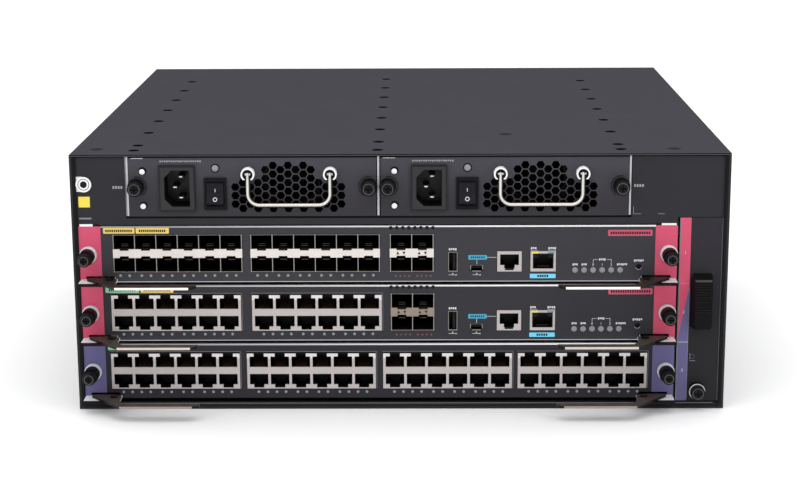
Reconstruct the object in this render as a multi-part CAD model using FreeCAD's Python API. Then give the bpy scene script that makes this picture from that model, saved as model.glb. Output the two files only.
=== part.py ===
# Modular rack-mount ethernet switch, four rack units high.
# A folded steel chassis holds two power supplies in a top row, three port cards below them
# and one tall fan tray at the right. Every module slides out of the front.
# Millimetres. +X is right, +Y is back, +Z is up. The origin is the centre of the bottom face.
import FreeCAD, Part
import math
import os

V = FreeCAD.Vector

# Chassis
chassis_width = 436.0
chassis_depth = 420.0
chassis_height = 175.0
wall_sheet = 1.5
bottom_sheet = 1.2
cover_sheet = 1.2
rear_sheet = 1.2
cover_flange_height = 14.0
post_width = 2.2
post_depth = 12.0
bar_depth = 6.0
sill_height = 3.8
sill_setback = 1.0
panel_setback = 1.5
panel_sheet = 1.5
slide_gap = 0.3
face_gap = 0.2

# Rows of modules
card_count = 3
card_pitch = 40.64
card_height = 38.2
lowest_card_top = 45.4
card_left_x = -214.1
card_right_x = 184.3
bar_above_card = 0.9
bar_height = 4.4
divider_sheet = 1.2

# Card faceplate and board
face_setback = 1.0
faceplate_sheet = 2.0
faceplate_flange = 10.0
faceplate_flange_sheet = 1.2
board_sheet = 1.6
board_above_card_bottom = 5.3
board_left_x = -200.0
board_right_x = 170.0
mating_plane_y = 118.0
board_plug_depth = 18.0
board_plug_width = 52.0
board_plug_height = 14.0
board_plug_pitch = 110.0
header_depth = 8.0
backplane_sheet = 3.2
guide_grip = 3.0
guide_wall = 2.2
guide_rear_gap = 8.0
guide_front_setback = 15.0
sink_size = 62.0
sink_base = 4.0
sink_fin = 2.0
sink_fin_count = 8
sink_height = 19.0
chip_size = 24.0
chip_height = 2.6

# Stacked copper sockets, in two rows with their latch slots outwards
jack_pitch = 14.2
jack_opening = 12.5
jack_opening_height = 7.4
jack_latch_width = 6.9
jack_latch_height = 2.3
jack_band = 4.8
jack_block_height = 25.4
jack_block_depth = 26.0
jack_socket_depth = 14.0
block_proud = 0.4

# Stacked optical cages, in two rows
cage_pitch = 14.25
cage_wall = 0.8
cage_opening_height = 9.5
cage_band = 6.0
cage_block_depth = 48.0
cage_socket_depth = 44.0
cage_notch_width = 6.0
cage_notch_depth = 1.2
cage_notch_reach = 3.0
cage_block_height = 25.6

# Left edges of the port blocks on each card, and how many columns each block has
cage_blocks_card_1 = ((-191.4, 6), (-99.7, 6), (-6.9, 2))
jack_blocks_card_2 = ((-193.8, 6), (-99.4, 6))
cage_blocks_card_2 = ((-6.5, 2),)
jack_blocks_card_3 = ((-195.5, 6), (-103.7, 6), (-11.8, 6), (79.0, 6))

# Service ports on the two upper cards
usb_left_x = 32.0
usb_width = 6.2
usb_height = 13.4
usb_shell = 0.5
usb_depth = 14.0
usb_tongue = 1.8
usb_tongue_setback = 1.5
mini_left_x = 46.7
mini_width = 8.5
mini_height = 4.4
mini_shell = 0.5
mini_depth = 9.0
mini_tongue = 0.8
console_left_x = 64.7
console_width = 16.2
management_left_x = 86.8
management_width = 16.8
single_jack_height = 13.8
single_jack_depth = 22.0
status_first_x = 116.5
status_pitch = 6.0
status_count = 6
status_radius = 1.9
status_proud = 0.3
status_above_board = 0.9
reset_x = 158.8
reset_above_board = 3.0
reset_hole_radius = 1.9
reset_stem_radius = 1.5
reset_bore_clearance = 0.06
reset_stem_length = 9.0
reset_setback = 1.0
reset_travel = 0.5
reset_housing_width = 7.0
reset_housing_depth = 8.0
reset_housing_setback = 2.6

# Ejector levers, two to a card. Each turns on a riveted ear that stands out of the faceplate.
# Insets count from the end of the card, forward lengths from the front of the chassis.
ear_sheet = 1.2
ear_rise = 2.0
ear_forward = 15.0
ear_side_inset = 0.8
ear_inner_inset = 25.2
lever_sheet = 1.6
lever_gap = 0.2
lever_pivot_inset = 21.2
lever_pivot_forward = 8.0
lever_tip_inset = 5.7
lever_tip_forward = 3.1
lever_tip_width = 1.3
lever_heel_inset = 8.0
lever_heel_forward = 2.2
lever_waist_inset = 25.6
lever_waist_forward = 16.0
lever_elbow_inset = 30.0
lever_shoulder_inset = 27.7
lever_end_inset = 80.6
lever_front = 29.2
lever_back = 22.4
lever_corner_radius = 6.4
notch_outer_inset = 4.2
notch_inner_inset = 23.4
rivet_radius = 1.8
rivet_clearance = 0.06
rivet_head_radius = 2.6
rivet_head_height = 0.6

# Captive thumbscrews
shank_radius = 1.9
shank_clearance = 0.07
shank_tail = 2.0
ferrule_gap = 0.5
tab_sheet = 1.6
tab_gap = 0.5
tab_height = 13.0
card_screw_left_inset = 6.25
card_screw_right_inset = 5.7
card_screw_below_top = 19.3
card_knob_radius = 4.4
card_knob_length = 7.5
card_ferrule_radius = 5.8
card_ferrule_length = 2.0
card_sleeve_radius = 5.1
card_sleeve_length = 11.5
card_tab_width = 11.5
psu_screw_offset = 77.0
psu_knob_radius = 5.0
psu_knob_length = 7.5
psu_ferrule_radius = 5.7
psu_ferrule_length = 2.2
knob_edge = 0.8
knob_socket_radius = 2.6
knob_socket_depth = 1.6

# Power supplies
psu_count = 2
partition_sheet = 2.0
partition_left_x = -181.5
partition_pitch = 166.4
partition_edge_gap = 0.3
partition_flange = 9.0
partition_flange_setback = 5.0
psu_side_gap = 0.4
psu_top_gap = 0.6
psu_plate_sheet = 1.5
psu_case_half_width = 70.8
psu_case_sheet = 1.0
psu_case_top_gap = 0.4
psu_plug_width = 60.0
psu_plug_height = 16.0
psu_plug_length = 8.0
psu_vent_count = 5
psu_vent_width = 8.0
psu_vent_height = 14.0
psu_vent_pitch = 12.0
psu_vent_centre_x = 34.0

# Honeycomb in the power supply's front
hex_flats = 5.0
hex_web = 0.78
hex_first_x = -11.4
hex_columns = 15
hex_first_below_top = 5.6
hex_long_rows = 6
hex_boss_keepout = 9.5
hex_boss_below = 4.5

# Inlet, switch, lamp and rivets on the power supply's front
inlet_x = -49.75
inlet_bezel_width = 23.9
inlet_bezel_height = 30.4
inlet_bezel_proud = 2.0
inlet_body_width = 20.4
inlet_body_height = 27.6
inlet_body_depth = 24.0
inlet_recess_width = 16.9
inlet_recess_height = 24.5
inlet_recess_depth = 18.0
inlet_chamfer = 5.0
inlet_pin_spacing = 7.0
inlet_pin_offset = 2.0
inlet_pin_width = 4.0
inlet_pin_height = 2.0
inlet_pin_length = 12.5
inlet_above_bottom = 19.0
switch_x = -24.55
switch_bezel_width = 14.9
switch_bezel_height = 21.3
switch_bezel_proud = 1.6
switch_body_width = 13.0
switch_body_height = 19.2
switch_body_depth = 15.0
switch_opening_width = 11.6
switch_above_bottom = 15.2
rocker_radius = 7.9
rocker_end_gap = 0.35
rocker_side_gap = 0.3
rocker_pivot_depth = 2.2
rocker_face_end = 4.6
rocker_face_middle = 2.6
rocker_back = 3.4
rocker_tilt = 10.0
rocker_pin_radius = 1.0
rocker_pin_clearance = 0.06
rocker_pin_reach = 0.6
lamp_x = -24.4
lamp_above_bottom = 32.4
lamp_radius = 2.35
lamp_proud = 0.5
front_rivet_x = -72.7
front_rivet_radius = 1.95
front_rivet_proud = 0.7
front_rivet_heights = (6.9, 30.1)

# Drop handle of the power supply, hanging in two slotted bosses
handle_centre_x = 24.4
handle_half_width = 27.1
handle_above_bottom = 28.8
handle_drop = 20.8
handle_rod_radius = 1.5
handle_corner_radius = 7.5
handle_axis_proud = 3.3
handle_pin_radius = 1.35
handle_pin_clearance = 0.06
handle_leg_above_axis = 1.2
boss_radius = 4.5
boss_proud = 5.4
boss_slot_width = 3.8
boss_slot_above_axis = 2.0

# Small fan inside each power supply
small_fan_size = 37.0
small_fan_depth = 15.0
small_fan_setback = 32.0
small_rotor_radius = 16.6
small_bore_radius = 17.6
small_hub_radius = 8.0
small_shaft_radius = 1.2
small_blade_count = 5

# Fan tray at the right
tray_left_x = 185.6
tray_right_x = 214.0
tray_bottom_z = 5.2
tray_sheet = 1.5
tray_rail_sheet = 1.2
tray_rear_y = 165.0
tray_plug_depth = 8.0
tray_plug_height = 30.0
fan_count = 3
fan_size = 92.0
fan_depth = 25.0
fan_pitch = 119.0
fan_first_y = -132.0
fan_bottom_z = 26.0
fan_bore_radius = 44.0
rotor_radius = 42.5
hub_radius = 17.0
shaft_radius = 2.0
shaft_clearance = 0.06
blade_count = 7
blade_sheet = 1.4
blade_root_angle = 52.0
blade_tip_angle = 32.0
strut_width = 4.0
strut_depth = 3.0
tray_guide_width = 5.0
tray_guide_sheet = 1.2
tray_screw_x = 199.6
tray_screw_z = 12.8
tray_knob_length = 4.7
tray_ferrule_radius = 5.4
tray_ferrule_length = 5.0
tray_tab_width = 13.0
tray_tab_height = 15.0
grip_centre_x = 201.3
grip_width = 10.5
grip_bottom_z = 57.4
grip_top_z = 93.8
grip_proud = 9.0
grip_slope = 3.9
grip_spread = 2.1
grip_rib_pitch = 1.74
grip_rib_count = 12
grip_groove = 0.85
grip_groove_depth = 0.8
grip_side_taper = 1.4

# Wrist strap socket beside the power supplies
strap_x = -209.0
strap_z = 155.2
strap_bore_radius = 2.1
strap_bore_length = 14.0
strap_flange_radius = 5.2
strap_flange_proud = 1.4
strap_body_radius = 3.6
strap_nut_radius = 5.0
strap_nut_length = 2.5
strap_wall_behind = 2.0

# Air slots and openings in the sheets
side_slot_width = 6.0
side_slot_height = 26.0
side_slot_pitch = 26.0
side_slot_count = 12
side_slot_first_y = -138.0
side_slot_bottoms = (16.0, 56.0, 96.0)
window_width = 40.0
window_height = 24.0
window_bottoms = (28.0, 58.0, 88.0)
windows_per_fan = 2
rear_slot_width = 4.0
rear_slot_height = 28.0
rear_slot_pitch = 9.0
rear_slot_count = 14
rear_slot_bottom = 139.0
backplane_window_width = 34.0
backplane_window_height = 10.0
backplane_window_pitch = 44.0
backplane_window_above_plug = 3.0

# Screws of the cover and holes for what a rack fits to the chassis
cover_screw_radius = 3.75
cover_screw_depth = 0.5
cover_screw_pitch = 50.7
cover_screw_rows = ((-177.5, 36.0), (-14.9, 48.0), (147.0, 36.0))
cover_screw_front = 17.0
cover_screw_count = 7
bracket_hole_radius = 2.1
bracket_spacing_y = 25.0
bracket_spacing_z = 120.0
bracket_first_setback = 20.0
bracket_first_z = 27.5
ground_hole_radius = 2.1
ground_spacing = 15.9
ground_x = -170.0
ground_z = 24.0
bracket_wing = 10.0

# Planes that follow from the sizes above
front_y = -chassis_depth / 2
rear_y = chassis_depth / 2
half_width = chassis_width / 2
inner_x = half_width - wall_sheet
post_inner_x = inner_x - post_width
cover_under_z = chassis_height - cover_sheet
face_y = front_y + face_setback
face_back_y = face_y + faceplate_sheet
top_card_top = lowest_card_top + card_pitch * (card_count - 1)
bar_bottom_z = top_card_top + bar_above_card
shelf_bottom_z = bar_bottom_z + bar_height
shelf_top_z = shelf_bottom_z + bottom_sheet
psu_bottom_z = shelf_top_z + slide_gap
psu_top_z = cover_under_z - psu_top_gap
psu_height = psu_top_z - psu_bottom_z
flange_under_z = cover_under_z - cover_sheet
psu_case_top_z = flange_under_z - psu_case_top_gap
psu_plate_back_y = face_y + psu_plate_sheet
backplane_front_y = mating_plane_y + header_depth
backplane_back_y = backplane_front_y + backplane_sheet
divider_right_x = tray_left_x - slide_gap
divider_left_x = divider_right_x - divider_sheet
tab_front_y = face_back_y + tab_gap
tab_back_y = tab_front_y + tab_sheet
hex_row_pitch = hex_flats + hex_web
hex_column_pitch = hex_row_pitch * math.sin(math.radians(60.0))
tray_top_z = shelf_bottom_z - slide_gap
tray_plug_back_y = tray_rear_y + tray_sheet + tray_plug_depth
fan_top_z = fan_bottom_z + fan_size
fan_left_x = (tray_left_x + tray_right_x - fan_depth) / 2
fan_right_x = fan_left_x + fan_depth

# Helpers


def block(x0, x1, y0, y1, z0, z1):
    return Part.makeBox(x1 - x0, y1 - y0, z1 - z0, V(x0, y0, z0))


def rod(radius, start, end):
    direction = end - start
    return Part.makeCylinder(radius, direction.Length, start, direction)


def prism_along_z(outline, z0, z1):
    face = polygon_face([V(x, y, z0) for x, y in outline])
    return face.extrude(V(0, 0, z1 - z0))


def polygon_face(points):
    return Part.Face(Part.makePolygon(points + points[:1]))


def prism_along_y(outline, y0, y1):
    face = polygon_face([V(x, y0, z) for x, z in outline])
    return face.extrude(V(0, y1 - y0, 0))


def prism_along_x(outline, x0, x1):
    face = polygon_face([V(x0, y, z) for y, z in outline])
    return face.extrude(V(x1 - x0, 0, 0))


def turned_along_y(profile, x, z):
    # The profile lists (radius, y) pairs and starts and ends on the axis.
    face = polygon_face([V(x + radius, y, z) for radius, y in profile])
    return face.revolve(V(x, 0, z), V(0, 1, 0), 360)


def fused(shapes):
    return shapes[0].fuse(shapes[1:]).removeSplitter()


def cut_all(shape, tools):
    return shape.cut(Part.makeCompound(tools))


def card_top(number):
    return lowest_card_top + card_pitch * (card_count - number)


def card_bottom(number):
    return card_top(number) - card_height


def board_top(number):
    return card_bottom(number) + board_above_card_bottom + board_sheet


def partition_x(index):
    return partition_left_x + partition_pitch * index


def psu_centre(number):
    left = partition_x(number - 1) + partition_sheet
    return (left + partition_x(number)) / 2


def fan_centre_y(number):
    return fan_first_y + fan_pitch * (number - 1)


def card_screw_xs():
    return card_left_x + card_screw_left_inset, card_right_x - card_screw_right_inset


# Chassis


def side_slots(x0, x1):
    slots = []
    for bottom in side_slot_bottoms:
        for index in range(side_slot_count):
            y = side_slot_first_y + side_slot_pitch * index
            slots.append(block(x0, x1, y, y + side_slot_width, bottom, bottom + side_slot_height))
    return slots


def bracket_holes(x0, x1):
    holes = []
    for y_step in (0, 1):
        for z_step in (0, 1):
            y = front_y + bracket_first_setback + bracket_spacing_y * y_step
            z = bracket_first_z + bracket_spacing_z * z_step
            holes.append(rod(bracket_hole_radius, V(x0, y, z), V(x1, y, z)))
    return holes


def base_tray():
    bottom = block(-half_width, half_width, front_y, rear_y, 0, bottom_sheet)
    left = block(-half_width, -inner_x, front_y, rear_y, 0, cover_under_z)
    right = block(inner_x, half_width, front_y, rear_y, 0, cover_under_z)
    wing_top = cover_under_z - cover_flange_height - slide_gap
    wing = block(-inner_x, -inner_x + bracket_wing, backplane_back_y,
                 backplane_back_y + wall_sheet, bottom_sheet, wing_top)
    tray = fused([bottom, left, right, wing])
    holes = side_slots(-half_width, -inner_x) + side_slots(inner_x, half_width)
    holes += bracket_holes(-half_width, -inner_x) + bracket_holes(inner_x, half_width)
    return cut_all(tray, holes)


def top_cover():
    plate = block(-half_width, half_width, front_y, rear_y, cover_under_z, chassis_height)
    flange_front = front_y + post_depth
    flange_rear = rear_y - rear_sheet
    flange_bottom = cover_under_z - cover_flange_height
    left = block(-inner_x, -inner_x + cover_sheet, flange_front, flange_rear,
                 flange_bottom, cover_under_z)
    right = block(inner_x - cover_sheet, inner_x, flange_front, flange_rear,
                  flange_bottom, cover_under_z)
    dimples = []
    floor = chassis_height - cover_screw_depth
    for x, first in cover_screw_rows:
        places = [cover_screw_front] + [first + cover_screw_pitch * i for i in range(cover_screw_count)]
        for place in places:
            y = front_y + place
            dimples.append(rod(cover_screw_radius, V(x, y, floor), V(x, y, chassis_height)))
    return cut_all(fused([plate, left, right]), dimples)


def rear_panel():
    y0 = rear_y - rear_sheet
    panel = block(-inner_x, inner_x, y0, rear_y, bottom_sheet, cover_under_z)
    holes = []
    for number in range(1, psu_count + 1):
        first = psu_centre(number) - rear_slot_pitch * (rear_slot_count - 1) / 2
        for index in range(rear_slot_count):
            x = first + rear_slot_pitch * index - rear_slot_width / 2
            holes.append(block(x, x + rear_slot_width, y0, rear_y,
                               rear_slot_bottom, rear_slot_bottom + rear_slot_height))
    for index in (0, 1):
        x = ground_x + ground_spacing * index
        holes.append(rod(ground_hole_radius, V(x, y0, ground_z), V(x, rear_y, ground_z)))
    return cut_all(panel, holes)


def screw_tab(x0, x1, screw_x, screw_z):
    tab = block(x0, x1, tab_front_y, tab_back_y, screw_z - tab_height / 2, screw_z + tab_height / 2)
    bore = rod(shank_radius + shank_clearance, V(screw_x, tab_front_y, screw_z),
               V(screw_x, tab_back_y, screw_z))
    return tab.cut(bore)


def front_frame():
    pieces = []
    for side in (-1, 1):
        outer = side * inner_x
        inner = side * post_inner_x
        pieces.append(block(min(outer, inner), max(outer, inner), front_y, front_y + post_depth,
                            bottom_sheet, cover_under_z))
    sill_y = front_y + sill_setback
    bar_y = front_y + panel_setback
    sill_top = bottom_sheet + sill_height
    sill = block(-post_inner_x, post_inner_x, sill_y, sill_y + bar_depth, bottom_sheet, sill_top)
    pieces.append(block(-post_inner_x, divider_left_x, bar_y, bar_y + bar_depth,
                        bar_bottom_z, shelf_bottom_z))
    panel_back = bar_y + panel_sheet
    left_edge = partition_x(0)
    right_edge = partition_x(psu_count) + partition_sheet
    seat = rod(strap_body_radius, V(strap_x, bar_y, strap_z), V(strap_x, panel_back, strap_z))
    pieces.append(block(-post_inner_x, left_edge, bar_y, panel_back, shelf_bottom_z, psu_top_z).cut(seat))
    pieces.append(block(right_edge, post_inner_x, bar_y, panel_back, shelf_bottom_z, psu_top_z))
    left_screw = card_screw_xs()[0]
    for number in range(1, card_count + 1):
        screw_z = card_top(number) - card_screw_below_top
        pieces.append(screw_tab(-post_inner_x, -post_inner_x + card_tab_width, left_screw, screw_z))
    tab_x = tray_screw_x - tray_tab_width / 2
    tray_tab = block(tab_x, tab_x + tray_tab_width, tab_front_y, tab_back_y,
                     bottom_sheet, sill_top + tray_tab_height)
    tray_bore = rod(shank_radius + shank_clearance, V(tray_screw_x, tab_front_y, tray_screw_z),
                    V(tray_screw_x, tab_back_y, tray_screw_z))
    pieces.append(fused([sill, tray_tab.cut(tray_bore)]))
    return Part.makeCompound(pieces)


def psu_shelf():
    back = backplane_front_y
    step_y = front_y + post_depth
    strip_y = front_y + panel_setback + panel_sheet
    pieces = [
        block(-inner_x, inner_x, step_y, back, shelf_bottom_z, shelf_top_z),
        block(-post_inner_x, post_inner_x, strip_y, step_y, shelf_bottom_z, shelf_top_z),
    ]
    partition_front = face_y + partition_edge_gap
    flange_y = face_back_y + partition_flange_setback
    # The flange of each partition turns towards the row of cover screws above it.
    flange_starts = (0.0, partition_sheet - partition_flange, partition_sheet - partition_flange)
    for index in range(psu_count + 1):
        x = partition_x(index)
        pieces.append(block(x, x + partition_sheet, partition_front, back, shelf_top_z, cover_under_z))
        flange_x = x + flange_starts[index]
        pieces.append(block(flange_x, flange_x + partition_flange, flange_y, back,
                            flange_under_z, cover_under_z))
    screw_z = (psu_bottom_z + psu_top_z) / 2
    for number in range(1, psu_count + 1):
        centre = psu_centre(number)
        left = partition_x(number - 1) + partition_sheet
        right = partition_x(number)
        reach = psu_case_half_width + slide_gap
        pieces.append(screw_tab(left, centre - reach, centre - psu_screw_offset, screw_z))
        pieces.append(screw_tab(centre + reach, right, centre + psu_screw_offset, screw_z))
    return fused(pieces)


def cage_divider():
    rear = tray_plug_back_y + wall_sheet
    front = tab_front_y
    sheet = block(divider_left_x, divider_right_x, front, rear, bottom_sheet, shelf_bottom_z)
    pieces = []
    screw_x = card_screw_xs()[1]
    for number in range(1, card_count + 1):
        screw_z = card_top(number) - card_screw_below_top
        pieces.append(screw_tab(divider_left_x - card_tab_width, divider_left_x, screw_x, screw_z))
    pieces.append(block(divider_left_x - bracket_wing, divider_left_x, backplane_back_y,
                        backplane_back_y + wall_sheet, bottom_sheet, shelf_bottom_z))
    pieces.append(block(divider_right_x, fan_right_x, tray_plug_back_y, rear,
                        bottom_sheet, shelf_bottom_z))
    rail_under = fan_bottom_z - tray_rail_sheet - slide_gap
    rail_over = fan_top_z + tray_rail_sheet + slide_gap
    guide_front = tab_back_y + slide_gap
    for bottom in (rail_under - tray_guide_sheet, rail_over):
        pieces.append(block(divider_right_x, divider_right_x + tray_guide_width, guide_front, tray_rear_y,
                            bottom, bottom + tray_guide_sheet))
    sill_back = front_y + sill_setback + bar_depth
    windows = [block(divider_left_x, divider_right_x, front, sill_back,
                     bottom_sheet, bottom_sheet + sill_height)]
    step = fan_size / windows_per_fan
    for number in range(1, fan_count + 1):
        for index in range(windows_per_fan):
            y = fan_centre_y(number) - fan_size / 2 + step * (index + 0.5) - window_width / 2
            for bottom in window_bottoms:
                windows.append(block(divider_left_x, divider_right_x, y, y + window_width,
                                     bottom, bottom + window_height))
    return Part.makeCompound([cut_all(sheet, windows)] + pieces)


def card_guides():
    guides = []
    front = front_y + guide_front_setback
    back = mating_plane_y - guide_rear_gap
    for number in range(1, card_count + 1):
        top = board_top(number)
        slot_top = top + slide_gap
        slot_bottom = top - board_sheet - slide_gap
        slot = block(board_left_x - slide_gap, board_right_x + slide_gap, front, back, slot_bottom, slot_top)
        for x0, x1 in ((-inner_x, board_left_x + guide_grip), (board_right_x - guide_grip, divider_left_x)):
            rail = block(x0, x1, front, back, slot_bottom - guide_wall, slot_top + guide_wall)
            guides.append(rail.cut(slot))
    return Part.makeCompound(guides)


def backplane():
    left = -post_inner_x
    pieces = [block(left, divider_left_x, backplane_front_y, backplane_back_y, bottom_sheet, psu_case_top_z)]
    middle = (board_left_x + board_right_x) / 2
    for number in range(1, card_count + 1):
        bottom = board_top(number)
        for step in (-1, 0, 1):
            x = middle + board_plug_pitch * step - board_plug_width / 2
            pieces.append(block(x, x + board_plug_width, mating_plane_y, backplane_front_y,
                                bottom, bottom + board_plug_height))
    holes = []
    for number in range(1, psu_count + 1):
        centre = psu_centre(number)
        bottom = psu_bottom_z + psu_case_sheet
        pieces.append(block(centre - psu_plug_width / 2, centre + psu_plug_width / 2, mating_plane_y,
                            backplane_front_y, bottom, bottom + psu_plug_height))
        window_z = bottom + psu_plug_height + backplane_window_above_plug
        for step in (-1, 0, 1):
            x = centre + backplane_window_pitch * step - backplane_window_width / 2
            holes.append(block(x, x + backplane_window_width, backplane_front_y, backplane_back_y,
                               window_z, window_z + backplane_window_height))
    return cut_all(fused(pieces), holes)


def esd_jack():
    panel_front = front_y + panel_setback
    panel_back = panel_front + panel_sheet
    mouth = panel_front - strap_flange_proud
    bore_end = mouth + strap_bore_length
    back = bore_end + strap_wall_behind
    profile = [
        (0, bore_end), (strap_bore_radius, bore_end), (strap_bore_radius, mouth),
        (strap_flange_radius, mouth), (strap_flange_radius, panel_front),
        (strap_body_radius, panel_front), (strap_body_radius, panel_back),
        (strap_nut_radius, panel_back), (strap_nut_radius, panel_back + strap_nut_length),
        (strap_body_radius, panel_back + strap_nut_length), (strap_body_radius, back), (0, back),
    ]
    return turned_along_y(profile, strap_x, strap_z)


# Thumbscrews, one profile for every size


def thumbscrew(x, z, plate_y, ferrule_length, knob_radius, knob_length, tail_y):
    knob_back = plate_y - ferrule_length - ferrule_gap
    knob_front = knob_back - knob_length
    profile = [
        (0, knob_front + knob_socket_depth), (knob_socket_radius, knob_front + knob_socket_depth),
        (knob_socket_radius, knob_front), (knob_radius - knob_edge, knob_front),
        (knob_radius, knob_front + knob_edge), (knob_radius, knob_back),
        (shank_radius, knob_back), (shank_radius, tail_y), (0, tail_y),
    ]
    return turned_along_y(profile, x, z)


def ferrule(x, z, plate_y, length, radius):
    return rod(radius, V(x, plate_y - length, z), V(x, plate_y, z))


def shank_hole(x, z, front, back):
    return rod(shank_radius + shank_clearance, V(x, front, z), V(x, back, z))


# Power supplies


def psu_front(number):
    centre = psu_centre(number)
    left = partition_x(number - 1) + partition_sheet + psu_side_gap
    right = partition_x(number) - psu_side_gap
    pieces = [block(left, right, face_y, psu_plate_back_y, psu_bottom_z, psu_top_z)]
    screw_z = (psu_bottom_z + psu_top_z) / 2
    screw_xs = (centre - psu_screw_offset, centre + psu_screw_offset)
    for x in screw_xs:
        pieces.append(ferrule(x, screw_z, face_y, psu_ferrule_length, psu_ferrule_radius))
    lamp_z = psu_bottom_z + lamp_above_bottom
    pieces.append(rod(lamp_radius, V(centre + lamp_x, face_y - lamp_proud, lamp_z),
                      V(centre + lamp_x, face_y, lamp_z)))
    for height in front_rivet_heights:
        z = psu_bottom_z + height
        x = centre + front_rivet_x
        pieces.append(rod(front_rivet_radius, V(x, face_y - front_rivet_proud, z), V(x, face_y, z)))
    for x in handle_leg_xs(number):
        pieces.append(handle_boss(x, psu_bottom_z + handle_above_bottom))
    holes = [shank_hole(x, screw_z, face_y - psu_ferrule_length, psu_plate_back_y) for x in screw_xs]
    holes.append(centred_block(centre + inlet_x, psu_bottom_z + inlet_above_bottom,
                               inlet_body_width, inlet_body_height, face_y, psu_plate_back_y))
    holes.append(centred_block(centre + switch_x, psu_bottom_z + switch_above_bottom,
                               switch_body_width, switch_body_height, face_y, psu_plate_back_y))
    holes += honeycomb(centre)
    return cut_all(fused(pieces), holes)


def centred_block(x, z, width, height, y0, y1):
    return block(x - width / 2, x + width / 2, y0, y1, z - height / 2, z + height / 2)


def honeycomb(centre):
    corner = hex_flats / math.sqrt(3.0)
    boss_z = psu_bottom_z + handle_above_bottom
    boss_xs = (handle_centre_x - handle_half_width, handle_centre_x + handle_half_width)
    cells = []
    for column in range(hex_columns):
        x = hex_first_x + hex_column_pitch * column
        long_column = column % 2 == 1
        rows = hex_long_rows if long_column else hex_long_rows - 1
        first_z = psu_top_z - hex_first_below_top - (0 if long_column else hex_row_pitch / 2)
        beside_boss = min(abs(x - boss_x) for boss_x in boss_xs) < hex_boss_keepout
        for row in range(rows):
            z = first_z - hex_row_pitch * row
            if beside_boss and z > boss_z - hex_boss_below:
                continue
            outline = []
            for index in range(6):
                angle = math.radians(60.0 * index)
                outline.append((centre + x + corner * math.cos(angle), z + corner * math.sin(angle)))
            cells.append(prism_along_y(outline, face_y, psu_plate_back_y))
    return cells


def handle_leg_xs(number):
    middle = psu_centre(number) + handle_centre_x
    return middle - handle_half_width, middle + handle_half_width


def handle_boss(x, z):
    axis_y = face_y - handle_axis_proud
    boss = rod(boss_radius, V(x, face_y - boss_proud, z), V(x, face_y, z))
    slot = block(x - boss_slot_width / 2, x + boss_slot_width / 2, face_y - boss_proud, face_y,
                 z - boss_radius, z + boss_slot_above_axis)
    bore = rod(handle_pin_radius + handle_pin_clearance, V(x - boss_radius, axis_y, z),
               V(x + boss_radius, axis_y, z))
    return cut_all(boss, [slot, bore])


def psu_handle(number):
    left, right = handle_leg_xs(number)
    y = face_y - handle_axis_proud
    axis_z = psu_bottom_z + handle_above_bottom
    top = axis_z + handle_leg_above_axis
    bottom = axis_z - handle_drop
    r = handle_corner_radius
    diagonal = r * math.sqrt(0.5)
    path = Part.Wire([
        Part.LineSegment(V(left, y, top), V(left, y, bottom + r)).toShape(),
        Part.Arc(V(left, y, bottom + r), V(left + r - diagonal, y, bottom + r - diagonal),
                 V(left + r, y, bottom)).toShape(),
        Part.LineSegment(V(left + r, y, bottom), V(right - r, y, bottom)).toShape(),
        Part.Arc(V(right - r, y, bottom), V(right - r + diagonal, y, bottom + r - diagonal),
                 V(right, y, bottom + r)).toShape(),
        Part.LineSegment(V(right, y, bottom + r), V(right, y, top)).toShape(),
    ])
    section = Part.Wire(Part.makeCircle(handle_rod_radius, V(left, y, top), V(0, 0, -1)))
    bail = path.makePipeShell([section], True, True)
    half_pin = boss_radius - slide_gap
    pins = [rod(handle_pin_radius, V(x - half_pin, y, axis_z), V(x + half_pin, y, axis_z))
            for x in (left, right)]
    return fused([bail] + pins)


def psu_inlet(number):
    x = psu_centre(number) + inlet_x
    z = psu_bottom_z + inlet_above_bottom
    mouth = face_y - inlet_bezel_proud
    bezel = centred_block(x, z, inlet_bezel_width, inlet_bezel_height, mouth, face_y)
    body = centred_block(x, z, inlet_body_width, inlet_body_height, face_y, face_y + inlet_body_depth)
    half_w = inlet_recess_width / 2
    half_h = inlet_recess_height / 2
    outline = [
        (x + half_w, z - half_h), (x + half_w, z + half_h), (x - half_w + inlet_chamfer, z + half_h),
        (x - half_w, z + half_h - inlet_chamfer), (x - half_w, z - half_h + inlet_chamfer),
        (x - half_w + inlet_chamfer, z - half_h),
    ]
    floor = mouth + inlet_recess_depth
    shell = fused([bezel, body]).cut(prism_along_y(outline, mouth, floor))
    pins = []
    for step in (-1, 0, 1):
        pin_x = x + (inlet_pin_offset if step else -inlet_pin_offset)
        pins.append(centred_block(pin_x, z + inlet_pin_spacing * step, inlet_pin_width,
                                  inlet_pin_height, floor - inlet_pin_length, floor))
    return fused([shell] + pins)


def rocker_axis(number):
    y = face_y - switch_bezel_proud + rocker_pivot_depth
    return psu_centre(number) + switch_x, y, psu_bottom_z + switch_above_bottom


def psu_switch_frame(number):
    x, axis_y, z = rocker_axis(number)
    mouth = face_y - switch_bezel_proud
    bezel = centred_block(x, z, switch_bezel_width, switch_bezel_height, mouth, face_y)
    body = centred_block(x, z, switch_body_width, switch_body_height, face_y, face_y + switch_body_depth)
    well_back = axis_y + rocker_radius + rocker_end_gap
    opening = centred_block(x, z, switch_opening_width, 2 * (rocker_radius + rocker_end_gap),
                            mouth, well_back)
    pin_reach = switch_opening_width / 2 - rocker_side_gap + rocker_pin_reach + rocker_side_gap
    bore = rod(rocker_pin_radius + rocker_pin_clearance, V(x - pin_reach, axis_y, z),
               V(x + pin_reach, axis_y, z))
    return cut_all(fused([bezel, body]), [opening, bore])


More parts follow.
